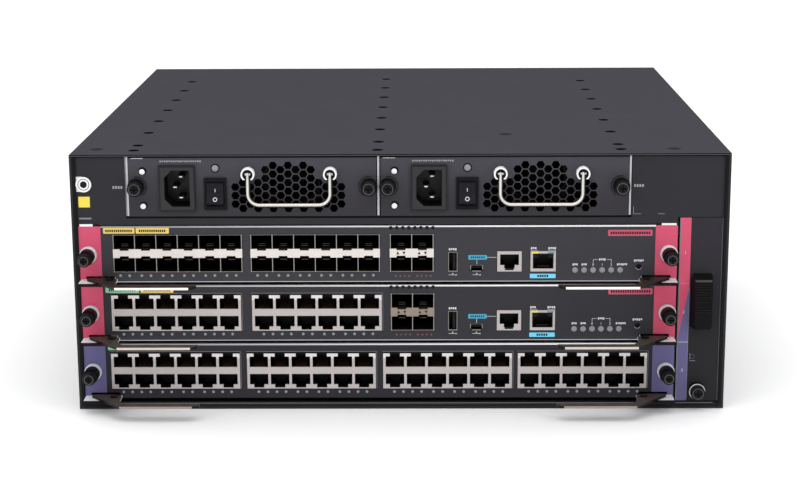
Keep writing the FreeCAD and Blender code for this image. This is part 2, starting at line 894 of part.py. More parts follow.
def psu_rocker(number):
    x, axis_y, z = rocker_axis(number)
    half_w = switch_opening_width / 2 - rocker_side_gap
    end_z = math.sqrt(rocker_radius ** 2 - rocker_face_end ** 2)
    back_z = math.sqrt(rocker_radius ** 2 - rocker_back ** 2)
    start = x - half_w
    points = [V(start, axis_y - rocker_face_end, z + end_z), V(start, axis_y, z + rocker_radius),
              V(start, axis_y + rocker_back, z + back_z), V(start, axis_y + rocker_back, z - back_z),
              V(start, axis_y, z - rocker_radius), V(start, axis_y - rocker_face_end, z - end_z),
              V(start, axis_y - rocker_face_middle, z)]
    edges = [
        Part.Arc(points[0], points[1], points[2]).toShape(),
        Part.LineSegment(points[2], points[3]).toShape(),
        Part.Arc(points[3], points[4], points[5]).toShape(),
        Part.LineSegment(points[5], points[6]).toShape(),
        Part.LineSegment(points[6], points[0]).toShape(),
    ]
    body = Part.Face(Part.Wire(edges)).extrude(V(2 * half_w, 0, 0))
    reach = half_w + rocker_pin_reach
    pin = rod(rocker_pin_radius, V(x - reach, axis_y, z), V(x + reach, axis_y, z))
    rocker = fused([body, pin])
    rocker.rotate(V(x, axis_y, z), V(1, 0, 0), -rocker_tilt)
    return rocker


def small_fan_y():
    return psu_plate_back_y + small_fan_setback


def psu_case(number):
    centre = psu_centre(number)
    x0 = centre - psu_case_half_width
    x1 = centre + psu_case_half_width
    back = mating_plane_y - psu_plug_length
    outer = block(x0, x1, psu_plate_back_y, back, psu_bottom_z, psu_case_top_z)
    inner = block(x0 + psu_case_sheet, x1 - psu_case_sheet, psu_plate_back_y, back - psu_case_sheet,
                  psu_bottom_z + psu_case_sheet, psu_case_top_z - psu_case_sheet)
    vents = []
    first = centre + psu_vent_centre_x - psu_vent_pitch * (psu_vent_count - 1) / 2
    vent_z = psu_case_top_z - psu_case_sheet - psu_vent_height
    for index in range(psu_vent_count):
        x = first + psu_vent_pitch * index - psu_vent_width / 2
        vents.append(block(x, x + psu_vent_width, back - psu_case_sheet, back, vent_z, vent_z + psu_vent_height))
    shell = cut_all(outer, [inner] + vents)
    plug_bottom = psu_bottom_z + psu_case_sheet
    plug = block(centre - psu_plug_width / 2, centre + psu_plug_width / 2, back, mating_plane_y,
                 plug_bottom, plug_bottom + psu_plug_height)
    fan_x, fan_y, fan_z = small_fan_centre(number)
    bulkhead = block(x0 + psu_case_sheet, x1 - psu_case_sheet, fan_y + small_fan_depth - psu_case_sheet,
                     fan_y + small_fan_depth, psu_bottom_z + psu_case_sheet, psu_case_top_z - psu_case_sheet)
    half = (psu_case_top_z - psu_bottom_z) / 2 - psu_case_sheet
    frame = block(fan_x - small_fan_size / 2, fan_x + small_fan_size / 2, fan_y, fan_y + small_fan_depth,
                  fan_z - half, fan_z + half)
    bore = rod(small_bore_radius, V(fan_x, fan_y, fan_z), V(fan_x, fan_y + small_fan_depth, fan_z))
    hub = fan_stator_y(fan_x, fan_y + small_fan_depth, fan_z)
    return fused([shell, plug, fused([bulkhead, frame]).cut(bore)] + hub)


def small_fan_centre(number):
    z = (psu_bottom_z + psu_case_top_z) / 2
    return psu_centre(number) + handle_centre_x, small_fan_y(), z


def fan_stator_y(x, back, z):
    front = back - strut_depth
    disc = rod(small_hub_radius, V(x, front, z), V(x, back, z))
    bore = rod(small_shaft_radius + shaft_clearance, V(x, front, z), V(x, back, z))
    bar = block(x - small_bore_radius, x + small_bore_radius, front, back, z - strut_width / 4,
                z + strut_width / 4)
    return [disc.fuse(bar).cut(bore)]


def fan_blade(hub, tip, half_chord, sheet):
    # A twisted blade along +Z, for a rotor that turns about X.
    wires = []
    for radius, angle in ((hub, blade_root_angle), (tip, blade_tip_angle)):
        c = math.cos(math.radians(angle))
        s = math.sin(math.radians(angle))
        chord = V(c, s, 0) * half_chord
        thick = V(-s, c, 0) * (sheet / 2)
        centre = V(0, 0, radius)
        corners = [centre + chord + thick, centre - chord + thick, centre - chord - thick,
                   centre + chord - thick]
        wires.append(Part.makePolygon(corners + corners[:1]))
    return Part.makeLoft(wires, True, True)


def rotor_about_x(hub, tip, length, blades, shaft, shaft_length):
    # The hub runs from 0 to its length along X, and the shaft goes on past it.
    body = rod(hub, V(0, 0, 0), V(length, 0, 0))
    pieces = [body, rod(shaft, V(length, 0, 0), V(length + shaft_length, 0, 0))]
    half_chord = length / 2 / math.cos(math.radians(blade_tip_angle)) - blade_sheet / 2
    for index in range(blades):
        blade = fan_blade(hub - blade_sheet, tip, half_chord, blade_sheet)
        blade.translate(V(length / 2, 0, 0))
        blade.rotate(V(0, 0, 0), V(1, 0, 0), 360.0 / blades * index)
        pieces.append(blade)
    return pieces[0].fuse(pieces[1:])


def psu_fan_rotor(number):
    x, y, z = small_fan_centre(number)
    hub_length = small_fan_depth - strut_depth - 2 * slide_gap
    rotor = rotor_about_x(small_hub_radius, small_rotor_radius, hub_length, small_blade_count,
                          small_shaft_radius, strut_depth)
    rotor.rotate(V(0, 0, 0), V(0, 0, 1), 90)
    rotor.translate(V(x, y + slide_gap, z))
    return rotor


def psu_screw(number, side):
    x = psu_centre(number) + side * psu_screw_offset
    z = (psu_bottom_z + psu_top_z) / 2
    return thumbscrew(x, z, face_y, psu_ferrule_length, psu_knob_radius, psu_knob_length,
                      tab_back_y + shank_tail)


# Cards


def inset_x(side, inset):
    return card_left_x + inset if side < 0 else card_right_x - inset


def inset_block(side, first, second, y0, y1, z0, z1):
    xs = sorted((inset_x(side, first), inset_x(side, second)))
    return block(xs[0], xs[1], y0, y1, z0, z1)


def lever_pivot(side):
    return inset_x(side, lever_pivot_inset)


def lever_bottom(number):
    return card_bottom(number) + ear_rise + lever_gap


def card_ferrule(x, z):
    profile = [
        (0, face_y), (card_ferrule_radius, face_y), (card_ferrule_radius, face_y - card_ferrule_length),
        (card_sleeve_radius, face_y - card_ferrule_length), (card_sleeve_radius, face_y - card_sleeve_length),
        (0, face_y - card_sleeve_length),
    ]
    return turned_along_y(profile, x, z)


def card_faceplate(number, block_holes, small_holes, lamps):
    top = card_top(number)
    bottom = card_bottom(number)
    flange_back = face_back_y + faceplate_flange
    flange_right = divider_left_x - slide_gap
    pieces = [block(card_left_x, card_right_x, face_y, face_back_y, bottom, top)]
    for z in (bottom, top - faceplate_flange_sheet):
        pieces.append(block(card_left_x, flange_right, face_back_y, flange_back,
                            z, z + faceplate_flange_sheet))
    screw_z = top - card_screw_below_top
    holes = []
    for x in card_screw_xs():
        pieces.append(card_ferrule(x, screw_z))
        holes.append(shank_hole(x, screw_z, face_y - card_sleeve_length, face_back_y))
    lever_top = lever_bottom(number) + lever_sheet
    ear_top = bottom + ear_rise
    ear_bottom = ear_top - ear_sheet
    pivot_y = front_y - lever_pivot_forward
    ears = []
    for side in (-1, 1):
        pivot_x = lever_pivot(side)
        # Under the ear the plate and its flange stop short, and over it the lever's claw swings in.
        holes.append(inset_block(side, 0, notch_inner_inset, face_y, face_back_y, bottom, ear_bottom))
        holes.append(inset_block(side, 0, notch_inner_inset, face_back_y, flange_back,
                                 bottom, bottom + faceplate_flange_sheet))
        holes.append(inset_block(side, notch_outer_inset, notch_inner_inset, face_y, face_back_y,
                                 ear_top, lever_top + slide_gap))
        ear = inset_block(side, ear_side_inset, ear_inner_inset, front_y - ear_forward, face_back_y,
                          ear_bottom, ear_top)
        shank = rod(rivet_radius, V(pivot_x, pivot_y, ear_top), V(pivot_x, pivot_y, lever_top + lever_gap))
        head = rod(rivet_head_radius, V(pivot_x, pivot_y, lever_top + lever_gap),
                   V(pivot_x, pivot_y, lever_top + lever_gap + rivet_head_height))
        ears += [ear, shank, head]
    plate = cut_all(fused(pieces), holes + block_holes + small_holes)
    return fused([plate] + ears + lamps)


def card_lever(number, side):
    z = lever_bottom(number)

    def at(inset, forward):
        return V(inset_x(side, inset), front_y - forward, z)

    r = lever_corner_radius
    bend = r * (1 - math.sqrt(0.5))
    bar_end = at(lever_end_inset - r, lever_front)
    side_end = at(lever_end_inset, lever_front - r)
    arc = Part.Arc(bar_end, at(lever_end_inset - bend, lever_front - bend), side_end).toShape()
    tip = at(lever_tip_inset, lever_tip_forward + lever_tip_width)
    before = [tip, at(lever_shoulder_inset, lever_front), bar_end]
    after = [
        side_end, at(lever_end_inset, lever_back), at(lever_elbow_inset, lever_back),
        at(lever_waist_inset, lever_waist_forward),
        at(lever_waist_inset, lever_pivot_forward - rivet_head_radius),
        at(lever_pivot_inset, lever_heel_forward), at(lever_heel_inset, lever_heel_forward),
        at(lever_tip_inset, lever_tip_forward), tip,
    ]
    outline = Part.Wire(Part.makePolygon(before).Edges + [arc] + Part.makePolygon(after).Edges)
    plate = Part.Face(outline).extrude(V(0, 0, lever_sheet))
    pivot = at(lever_pivot_inset, lever_pivot_forward)
    return plate.cut(rod(rivet_radius + rivet_clearance, pivot, pivot + V(0, 0, lever_sheet)))


def card_screw(number, side):
    x = card_screw_xs()[0 if side < 0 else 1]
    z = card_top(number) - card_screw_below_top
    return thumbscrew(x, z, face_y, card_sleeve_length, card_knob_radius, card_knob_length,
                      tab_back_y + shank_tail)


def heat_sink(x, y, z):
    pieces = [block(x, x + sink_size, y, y + sink_size, z, z + sink_base)]
    step = (sink_size - sink_fin) / (sink_fin_count - 1)
    for index in range(sink_fin_count):
        fin_y = y + step * index
        pieces.append(block(x, x + sink_size, fin_y, fin_y + sink_fin, z + sink_base, z + sink_height))
    return fused(pieces)


def card_board(number):
    top = board_top(number)
    plug_front = mating_plane_y - board_plug_depth
    sheet = block(board_left_x, board_right_x, face_back_y + slide_gap, plug_front,
                  top - board_sheet, top)
    pieces = [sheet]
    middle = (board_left_x + board_right_x) / 2
    for step in (-1, 0, 1):
        x = middle + board_plug_pitch * step - board_plug_width / 2
        pieces.append(block(x, x + board_plug_width, plug_front, mating_plane_y,
                            top, top + board_plug_height))
        pieces.append(block(x, x + board_plug_width, plug_front - board_plug_depth, plug_front,
                            top, top + board_plug_height))
        chip_x = middle + board_plug_pitch * step - chip_size / 2
        chip_y = -chip_size
        if step == 0:
            pieces.append(heat_sink(middle - sink_size / 2, -sink_size, top))
        else:
            pieces.append(block(chip_x, chip_x + chip_size, chip_y, chip_y + chip_size,
                                top, top + chip_height))
    return fused(pieces)


def jack_block_width(columns):
    return jack_pitch * columns + jack_pitch - jack_opening


def cage_block_width(columns):
    return cage_pitch * columns + cage_wall


def block_front():
    return face_y - block_proud


def socket_outline(x, inner_z, direction):
    # One plug-shaped opening: x is its left edge, inner_z its flat edge, and the latch points away.
    middle = x + jack_opening / 2
    half = jack_latch_width / 2
    shoulder = inner_z + direction * jack_opening_height
    crown = shoulder + direction * jack_latch_height
    return [(x, inner_z), (x + jack_opening, inner_z), (x + jack_opening, shoulder),
            (middle + half, shoulder), (middle + half, crown), (middle - half, crown),
            (middle - half, shoulder), (x, shoulder)]


def jack_block(left, columns, bottom):
    front = block_front()
    width = jack_block_width(columns)
    body = block(left, left + width, front, front + jack_block_depth, bottom, bottom + jack_block_height)
    middle = bottom + jack_block_height / 2
    sockets = []
    for index in range(columns):
        x = left + jack_pitch - jack_opening + jack_pitch * index
        for direction in (-1, 1):
            outline = socket_outline(x, middle + direction * jack_band / 2, direction)
            sockets.append(prism_along_y(outline, front, front + jack_socket_depth))
    return cut_all(body, sockets)


def cage_block(left, columns, bottom):
    front = block_front()
    width = cage_block_width(columns)
    body = block(left, left + width, front, front + cage_block_depth, bottom, bottom + cage_block_height)
    middle = bottom + cage_block_height / 2
    half_band = cage_band / 2
    cells = []
    for index in range(columns):
        x = left + cage_wall + cage_pitch * index
        port = cage_pitch - cage_wall
        centre = x + port / 2
        low = middle - half_band
        high = middle + half_band
        cells.append(block(x, x + port, front, front + cage_socket_depth, low - cage_opening_height, low))
        cells.append(block(x, x + port, front, front + cage_socket_depth, high, high + cage_opening_height))
        for z in (low, high - cage_notch_depth):
            cells.append(block(centre - cage_notch_width / 2, centre + cage_notch_width / 2,
                               front, front + cage_notch_reach, z, z + cage_notch_depth))
    return cut_all(body, cells)


def single_jack(left, width, bottom, latch_down):
    front = block_front()
    body = block(left, left + width, front, front + single_jack_depth, bottom, bottom + single_jack_height)
    x = left + (width - jack_opening) / 2
    margin = (single_jack_height - jack_opening_height - jack_latch_height) / 2
    if latch_down:
        outline = socket_outline(x, bottom + single_jack_height - margin, -1)
    else:
        outline = socket_outline(x, bottom + margin, 1)
    return body.cut(prism_along_y(outline, front, front + jack_socket_depth))


def usb_socket(bottom):
    front = block_front()
    x1 = usb_left_x + usb_width
    body = block(usb_left_x, x1, front, front + usb_depth, bottom, bottom + usb_height)
    well = block(usb_left_x + usb_shell, x1 - usb_shell, front, front + usb_depth - usb_shell,
                 bottom + usb_shell, bottom + usb_height - usb_shell)
    tongue_x = usb_left_x + usb_width / 2
    tongue = block(tongue_x, tongue_x + usb_tongue, front + usb_tongue_setback, front + usb_depth - usb_shell,
                   bottom + 2 * usb_shell, bottom + usb_height - 2 * usb_shell)
    return fused([body.cut(well), tongue])


def mini_socket(bottom):
    front = block_front()
    x1 = mini_left_x + mini_width
    z1 = bottom + mini_height
    body = block(mini_left_x, x1, front, front + mini_depth, bottom, z1)
    well = block(mini_left_x + mini_shell, x1 - mini_shell, front, front + mini_depth - mini_shell,
                 bottom + mini_shell, z1 - mini_shell)
    middle = (bottom + z1) / 2
    tongue = block(mini_left_x + 2 * mini_shell, x1 - 2 * mini_shell, front + usb_tongue_setback,
                   front + mini_depth - mini_shell, middle, middle + mini_tongue)
    return fused([body.cut(well), tongue])


def reset_housing(bottom):
    z = bottom + reset_above_board
    half = reset_housing_width / 2
    front = face_back_y + reset_housing_setback
    body = block(reset_x - half, reset_x + half, front, front + reset_housing_depth, bottom, z + half)
    stem_end = face_y + reset_setback + reset_stem_length
    bore = rod(reset_stem_radius + reset_bore_clearance, V(reset_x, front, z),
               V(reset_x, stem_end + 2 * reset_travel, z))
    return body.cut(bore)


def service_ports(number):
    bottom = board_top(number)
    return Part.makeCompound([
        usb_socket(bottom),
        mini_socket(bottom),
        single_jack(console_left_x, console_width, bottom, True),
        single_jack(management_left_x, management_width, bottom, False),
        reset_housing(bottom),
    ])


def reset_button(number):
    z = board_top(number) + reset_above_board
    start = face_y + reset_setback
    return rod(reset_stem_radius, V(reset_x, start, z), V(reset_x, start + reset_stem_length, z))


def plate_hole(left, width, bottom, height):
    return block(left - face_gap, left + width + face_gap, face_y, face_back_y,
                 bottom - face_gap, bottom + height + face_gap)


def service_holes(number):
    bottom = board_top(number)
    z = bottom + reset_above_board
    return [
        plate_hole(usb_left_x, usb_width, bottom, usb_height),
        plate_hole(mini_left_x, mini_width, bottom, mini_height),
        plate_hole(console_left_x, console_width, bottom, single_jack_height),
        plate_hole(management_left_x, management_width, bottom, single_jack_height),
        rod(reset_hole_radius, V(reset_x, face_y, z), V(reset_x, face_back_y, z)),
    ]


def status_lamps(number):
    z = board_top(number) + status_above_board
    lamps = []
    for index in range(status_count):
        x = status_first_x + status_pitch * index
        lamps.append(rod(status_radius, V(x, face_y - status_proud, z), V(x, face_y, z)))
    return lamps


def jack_holes(blocks, bottom):
    return [plate_hole(left, jack_block_width(columns), bottom, jack_block_height)
            for left, columns in blocks]


def cage_holes(blocks, bottom):
    return [plate_hole(left, cage_block_width(columns), bottom, cage_block_height)
            for left, columns in blocks]


def jacks(blocks, number):
    return Part.makeCompound([jack_block(left, columns, board_top(number)) for left, columns in blocks])


def cages(blocks, number):
    return Part.makeCompound([cage_block(left, columns, board_top(number)) for left, columns in blocks])


# Fan tray


def fan_tray():
    front = face_y
    back = front + tray_sheet
    lower = fan_bottom_z - tray_rail_sheet
    upper = fan_top_z + tray_rail_sheet
    rear = tray_rear_y + tray_sheet
    pieces = [
        block(tray_left_x, tray_right_x, front, back, tray_bottom_z, tray_top_z),
        block(fan_left_x, fan_right_x, back, rear, lower, fan_bottom_z),
        block(fan_left_x, fan_right_x, back, rear, fan_top_z, upper),
        block(fan_left_x, fan_right_x, tray_rear_y, rear, lower, upper),
        ferrule(tray_screw_x, tray_screw_z, front, tray_ferrule_length, tray_ferrule_radius),
    ]
    middle = (fan_bottom_z + fan_top_z) / 2
    pieces.append(block(fan_left_x, fan_right_x, rear, tray_plug_back_y,
                        middle - tray_plug_height / 2, middle + tray_plug_height / 2))
    hole = shank_hole(tray_screw_x, tray_screw_z, front - tray_ferrule_length, back)
    return fused(pieces).cut(hole)


def fan_tray_screw():
    return thumbscrew(tray_screw_x, tray_screw_z, face_y, tray_ferrule_length, psu_knob_radius,
                      tray_knob_length, tab_back_y + shank_tail)


def fan_tray_grip():
    front = face_y - grip_proud
    half = grip_width / 2
    base = half + grip_spread
    shoulder = grip_top_z - grip_slope
    side = [(face_y, grip_bottom_z), (front, grip_bottom_z), (front, shoulder), (face_y, grip_top_z)]
    body = prism_along_x(side, grip_centre_x - base, grip_centre_x + base)
    cuts = []
    for direction in (-1, 1):
        outer = grip_centre_x + direction * base
        inner = grip_centre_x + direction * half
        cuts.append(prism_along_z([(outer, face_y), (outer, front), (inner, front)],
                                  grip_bottom_z, grip_top_z))
        cuts.append(prism_along_y([(outer, shoulder), (outer, grip_top_z),
                                   (outer - direction * grip_side_taper, grip_top_z)], front, face_y))
    for index in range(grip_rib_count):
        z = shoulder - grip_rib_pitch * (index + 0.5) - grip_groove
        cuts.append(block(grip_centre_x - base, grip_centre_x + base, front, front + grip_groove_depth,
                          z, z + grip_groove))
    return cut_all(body, cuts)


def fan_frame(number):
    y = fan_centre_y(number)
    z = (fan_bottom_z + fan_top_z) / 2
    half = fan_size / 2
    body = block(fan_left_x, fan_right_x, y - half, y + half, fan_bottom_z, fan_top_z)
    bore = rod(fan_bore_radius, V(fan_left_x, y, z), V(fan_right_x, y, z))
    ring = body.cut(bore)
    strut_x = fan_right_x - strut_depth
    disc = rod(hub_radius, V(strut_x, y, z), V(fan_right_x, y, z))
    reach = fan_bore_radius + strut_width
    bars = [block(strut_x, fan_right_x, y - reach, y + reach, z - strut_width / 2, z + strut_width / 2),
            block(strut_x, fan_right_x, y - strut_width / 2, y + strut_width / 2, z - half, z + half)]
    shaft_bore = rod(shaft_radius + shaft_clearance, V(strut_x, y, z), V(fan_right_x, y, z))
    return fused([ring, disc] + bars).cut(shaft_bore)


def fan_rotor(number):
    y = fan_centre_y(number)
    z = (fan_bottom_z + fan_top_z) / 2
    hub_length = fan_depth - strut_depth - 2 * slide_gap
    rotor = rotor_about_x(hub_radius, rotor_radius, hub_length, blade_count, shaft_radius, strut_depth)
    rotor.translate(V(fan_left_x + slide_gap, y, z))
    return rotor


# Nodes, in the order in which the switch is put together


def chassis_nodes():
    return {
        "base_tray": base_tray(),
        "top_cover": top_cover(),
        "rear_panel": rear_panel(),
        "front_frame": front_frame(),
        "psu_shelf": psu_shelf(),
        "cage_divider": cage_divider(),
        "card_guides": card_guides(),
        "backplane": backplane(),
        "esd_jack": esd_jack(),
    }


def psu_nodes(number):
    name = f"psu_{number}_"
    return {
        name + "front": psu_front(number),
        name + "case": psu_case(number),
        name + "inlet": psu_inlet(number),
        name + "switch_frame": psu_switch_frame(number),
        name + "rocker": psu_rocker(number),
        name + "handle": psu_handle(number),
        name + "screw_left": psu_screw(number, -1),
        name + "screw_right": psu_screw(number, 1),
        name + "fan_rotor": psu_fan_rotor(number),
    }


def card_nodes(number, cage_blocks, jack_blocks, has_service_ports):
    bottom = board_top(number)
    holes = cage_holes(cage_blocks, bottom) + jack_holes(jack_blocks, bottom)
    small_holes = service_holes(number) if has_service_ports else []
    lamps = status_lamps(number) if has_service_ports else []
    name = f"card_{number}_"
    nodes = {
        name + "faceplate": card_faceplate(number, holes, small_holes, lamps),
        name + "board": card_board(number),
        name + "lever_left": card_lever(number, -1),
        name + "lever_right": card_lever(number, 1),
        name + "screw_left": card_screw(number, -1),
        name + "screw_right": card_screw(number, 1),
    }
    if cage_blocks:
        nodes[name + "cages"] = cages(cage_blocks, number)
    if jack_blocks:
        nodes[name + "jacks"] = jacks(jack_blocks, number)
    if has_service_ports:
        nodes[name + "service_ports"] = service_ports(number)
        nodes[name + "reset"] = reset_button(number)
    return nodes


def fan_nodes():
    numbers = range(1, fan_count + 1)
    nodes = {
        "fan_tray": fan_tray(),
        "fan_tray_grip": fan_tray_grip(),
        "fan_tray_screw": fan_tray_screw(),
        "fan_frames": Part.makeCompound([fan_frame(number) for number in numbers]),
    }
    for number in numbers:
        nodes[f"fan_rotor_{number}"] = fan_rotor(number)
    return nodes


def all_nodes():
    nodes = chassis_nodes()
    for number in range(1, psu_count + 1):
        nodes.update(psu_nodes(number))
    nodes.update(card_nodes(1, cage_blocks_card_1, (), True))
    nodes.update(card_nodes(2, cage_blocks_card_2, jack_blocks_card_2, True))
    nodes.update(card_nodes(3, (), jack_blocks_card_3, False))
    nodes.update(fan_nodes())
    return nodes


os.makedirs("parts", exist_ok=True)
for node, shape in all_nodes().items():
    shape.exportStep(f"parts/{node}.step")
    print(node, "solids", len(shape.Solids), "valid", shape.isValid(), "volume", round(shape.Volume))
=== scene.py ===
import math
from collections import namedtuple

import bmesh
import bpy
from mathutils import Matrix, Vector


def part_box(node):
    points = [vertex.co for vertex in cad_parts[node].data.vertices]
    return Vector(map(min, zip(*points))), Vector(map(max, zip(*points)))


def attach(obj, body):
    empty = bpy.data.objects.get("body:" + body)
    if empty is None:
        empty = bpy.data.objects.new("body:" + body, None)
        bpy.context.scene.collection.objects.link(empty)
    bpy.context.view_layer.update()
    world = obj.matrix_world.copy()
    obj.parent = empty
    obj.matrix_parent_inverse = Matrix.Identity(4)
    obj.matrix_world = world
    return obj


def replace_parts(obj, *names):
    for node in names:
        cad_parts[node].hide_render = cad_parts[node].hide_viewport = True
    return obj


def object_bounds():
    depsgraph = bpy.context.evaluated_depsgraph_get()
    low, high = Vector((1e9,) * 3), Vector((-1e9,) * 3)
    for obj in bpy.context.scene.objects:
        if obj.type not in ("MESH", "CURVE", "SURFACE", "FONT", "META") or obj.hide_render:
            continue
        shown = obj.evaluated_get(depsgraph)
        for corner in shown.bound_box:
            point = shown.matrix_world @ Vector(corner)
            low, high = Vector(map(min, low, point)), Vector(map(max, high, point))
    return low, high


# Looks of a modular rack-mount switch. Lengths are in millimetres of the row frame, and a
# piece is scaled to metres when it is made.
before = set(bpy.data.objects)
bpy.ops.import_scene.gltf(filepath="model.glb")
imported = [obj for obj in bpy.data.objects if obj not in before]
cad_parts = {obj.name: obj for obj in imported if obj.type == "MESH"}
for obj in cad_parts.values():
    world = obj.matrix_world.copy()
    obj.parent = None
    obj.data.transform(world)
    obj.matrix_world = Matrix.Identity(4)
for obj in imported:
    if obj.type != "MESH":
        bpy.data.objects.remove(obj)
cad_corners = [list(corner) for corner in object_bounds()]

MM = 0.001

# Sides on which a piece can be built: local x, y and outward z, as columns
FRONT = Matrix(((1, 0, 0), (0, 0, -1), (0, 1, 0)))
TOP = Matrix(((1, 0, 0), (0, 1, 0), (0, 0, 1)))


def node_box(node):
    low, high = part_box(node)
    return low / MM, high / MM


def node_centre(node):
    # Seen from the front: x and z.
    low, high = node_box(node)
    return (low.x + high.x) / 2, (low.z + high.z) / 2


card_numbers = (1, 2, 3)
service_cards = (1, 2)
psu_numbers = (1, 2)
fan_numbers = (1, 2, 3)
sides = (-1, 1)

# Faces, as distances forward of the row's origin
face = -node_box("fan_tray_grip")[1].y
block_face = -node_box("card_3_jacks")[0].y
front_edge = -node_box("top_cover")[0].y
panel_face = -node_box("front_frame")[0].y - 1.5

# Cards
card_height = 38.2
board_above_card_bottom = 6.9
card_screw_radius = 4.4
card_screw_below_top = 19.3
card_top = {n: node_box(f"card_{n}_faceplate")[1].z for n in card_numbers}
card_bottom = {n: card_top[n] - card_height for n in card_numbers}
board_top = {n: card_bottom[n] + board_above_card_bottom for n in card_numbers}
card_left = node_box("card_1_board")[0].x - 14.1
card_right = node_box("card_1_board")[1].x + 14.3
card_field_edges = (-199.2, 169.5)
card_screw_xs = [node_box(f"card_1_screw_{side}")[0].x + card_screw_radius for side in ("left", "right")]

# Power supplies, by distance from their centre and their lower edge
psu_centre = {n: node_centre(f"psu_{n}_case")[0] for n in psu_numbers}
psu_bottom = node_box("psu_1_case")[0].z
psu_top = node_box("psu_1_front")[1].z
psu_middle = (psu_bottom + psu_top) / 2
psu_lamp = (-24.4, 32.4)
psu_rivet_x = -72.7
psu_rivet_heights = (6.9, 30.1)
psu_screw_x = 77.0
psu_inlet = (-49.75, 19.0)
psu_boss_x = 24.4
psu_boss_spread = 27.1
psu_boss_height = 28.8
partition_edges = (-181.5, -15.1, 151.3)

# Top cover, by distance from its front edge: rows of screws, pressed marks
cover_top = node_box("top_cover")[1].z
cover_rows = ((-177.5, 36.0), (-14.9, 48.0), (147.0, 36.0))
cover_first_screw = 17.0
cover_screw_pitch = 50.7
cover_dimple_depth = 0.5
cover_marks = ((-203.2, 21.7), (182.6, 18.6), (72.8, 77.0))

# Fan tray: printed strip and the slanted line where its two colours meet
tray_strip = (186.3, 193.0)
tray_slant = (51.0, 85.0)
tray_slant_blur = 3.0

# Port blocks of each card: left edge and number of columns
jack_pitch = 14.2
cage_pitch = 14.25
cage_wall = 0.8
jack_opening = 12.5
jack_height = 25.4
cage_height = 25.6
contact_pitch = 1.02
jack_blocks = {2: ((-193.8, 6), (-99.4, 6)), 3: ((-195.5, 6), (-103.7, 6), (-11.8, 6), (79.0, 6))}
cage_blocks = {1: ((-191.4, 6), (-99.7, 6), (-6.9, 2)), 2: ((-6.5, 2),)}

# Service ports: left edge and width
usb_port = (32.0, 6.2)
mini_port = (46.7, 8.5)
console_port = (64.7, 16.2)
management_port = (86.8, 16.8)
single_jack_height = 13.8
status_xs = [116.5 + 6.0 * step for step in range(6)]
status_z_above_board = 0.9
reset_x = 158.8

# Prints stand a little out of the surface that carries them
print_sunk = 0.02
print_height = 0.06
overprint_height = 0.09

Look = namedtuple("Look", "colour metal rough")
Surface = namedtuple("Surface", "mottle rough bump")


def tone(red, green, blue, metal=0.0, rough=0.5):
    def linear(value):
        value /= 255.0
        return value / 12.92 if value <= 0.04045 else ((value + 0.055) / 1.055) ** 2.4
    return Look((linear(red), linear(green), linear(blue), 1.0), metal, rough)


# Paints and plastics
charcoal = tone(43, 43, 47)
cover_grey = tone(64, 63, 68, rough=0.6)
cover_lip_highlight = tone(78, 78, 84)
cover_mark = tone(44, 44, 48, rough=0.55)
psu_charcoal = tone(66, 65, 71)
psu_shade = tone(52, 50, 54)
tray_charcoal = tone(44, 42, 48, rough=0.52)
tray_shade = tone(34, 33, 37, rough=0.52)
# One paint on every card, toned as painted shade: lighter on the top card, darker on the lower ones
card_faces_shaded_downward = {1: tone(56, 55, 60, rough=0.52), 2: tone(49, 48, 53, rough=0.52),
              3: tone(42, 40, 46, rough=0.52)}
sill_brown = tone(34, 31, 30)
pink = tone(204, 82, 110)
violet = tone(100, 96, 138, rough=0.45)
deep_black = tone(8, 8, 9)
dimple_black = tone(14, 14, 15)
black_plastic = tone(11, 11, 12, rough=0.42)
inlet_face = tone(40, 40, 43)
# Lighter than the other black plastic, as painted light on the rocker, which sits in shade
rocker_black = tone(32, 31, 36, rough=0.4)
knob_black = tone(18, 18, 19, rough=0.45)
knob_grey = tone(92, 92, 94, rough=0.4)
grip_black = tone(9, 9, 10)
grip_rib_highlight = tone(72, 71, 74)
fan_black = tone(26, 26, 28, rough=0.38)
guide_grey = tone(180, 178, 168)
header_white = tone(196, 194, 186)
lens = tone(138, 138, 142, rough=0.3)
board_green = tone(24, 84, 48, rough=0.4)
chip_black = tone(26, 26, 28, rough=0.35)
floor_white = tone(244, 244, 245, rough=0.6)

# Metals, also as bare edges and as painted edge highlights
plated = tone(205, 205, 205, 1.0, 0.34)
nickel = tone(214, 210, 202, 1.0, 0.2)
aluminium = tone(196, 198, 200, 1.0, 0.38)
bright_edge = tone(236, 236, 238, 0.1, 0.4)
pale_edge = tone(186, 186, 190, 0.1, 0.4)
soft_edge = tone(118, 118, 124, 0.1, 0.45)
strip_grey = tone(150, 150, 154, 0.1, 0.4)
ferrule = tone(208, 208, 211, rough=0.35)
handle_shade = tone(62, 59, 55, 0.6, 0.35)
handle_highlight = tone(220, 217, 211, 0.3, 0.3)
pin_shaded_metal = tone(38, 36, 35, 0.8, 0.4)
# Per card: lever tops toned apart as painted shade, front edges as painted highlights, and a dark tone as
# painted shade on slanted sides and ear fronts
lever_tops = {1: tone(52, 43, 38, 0.2, 0.42), 2: tone(74, 66, 58, 0.2, 0.42), 3: tone(74, 65, 61, 0.2, 0.42)}
lever_edge_highlights = {1: tone(255, 248, 238, rough=0.35), 2: tone(208, 195, 184, 0.1, 0.4),
               3: tone(156, 140, 134, 0.1, 0.4)}
lever_shade_black = tone(20, 16, 16, 0.3, 0.45)
jack_metal = tone(182, 175, 173, 0.1, 0.42)
jack_bright = tone(214, 208, 206, 0.1, 0.42)
shell_grey = tone(138, 134, 130, 0.2, 0.42)
cage_bands = {1: tone(218, 211, 206, 0.1, 0.4), 2: tone(142, 130, 118, 0.2, 0.4)}
cage_inside_shade = tone(30, 27, 24, 0.6, 0.5)
cage_edge = tone(158, 152, 146, 0.2, 0.4)
pale_steel = tone(128, 128, 132, 0.2, 0.4)
tab_steel = tone(82, 77, 71, 0.5, 0.45)
contact_gold = tone(64, 46, 30, 0.5, 0.45)
screw_oxide = tone(26, 26, 28, 0.7, 0.4)

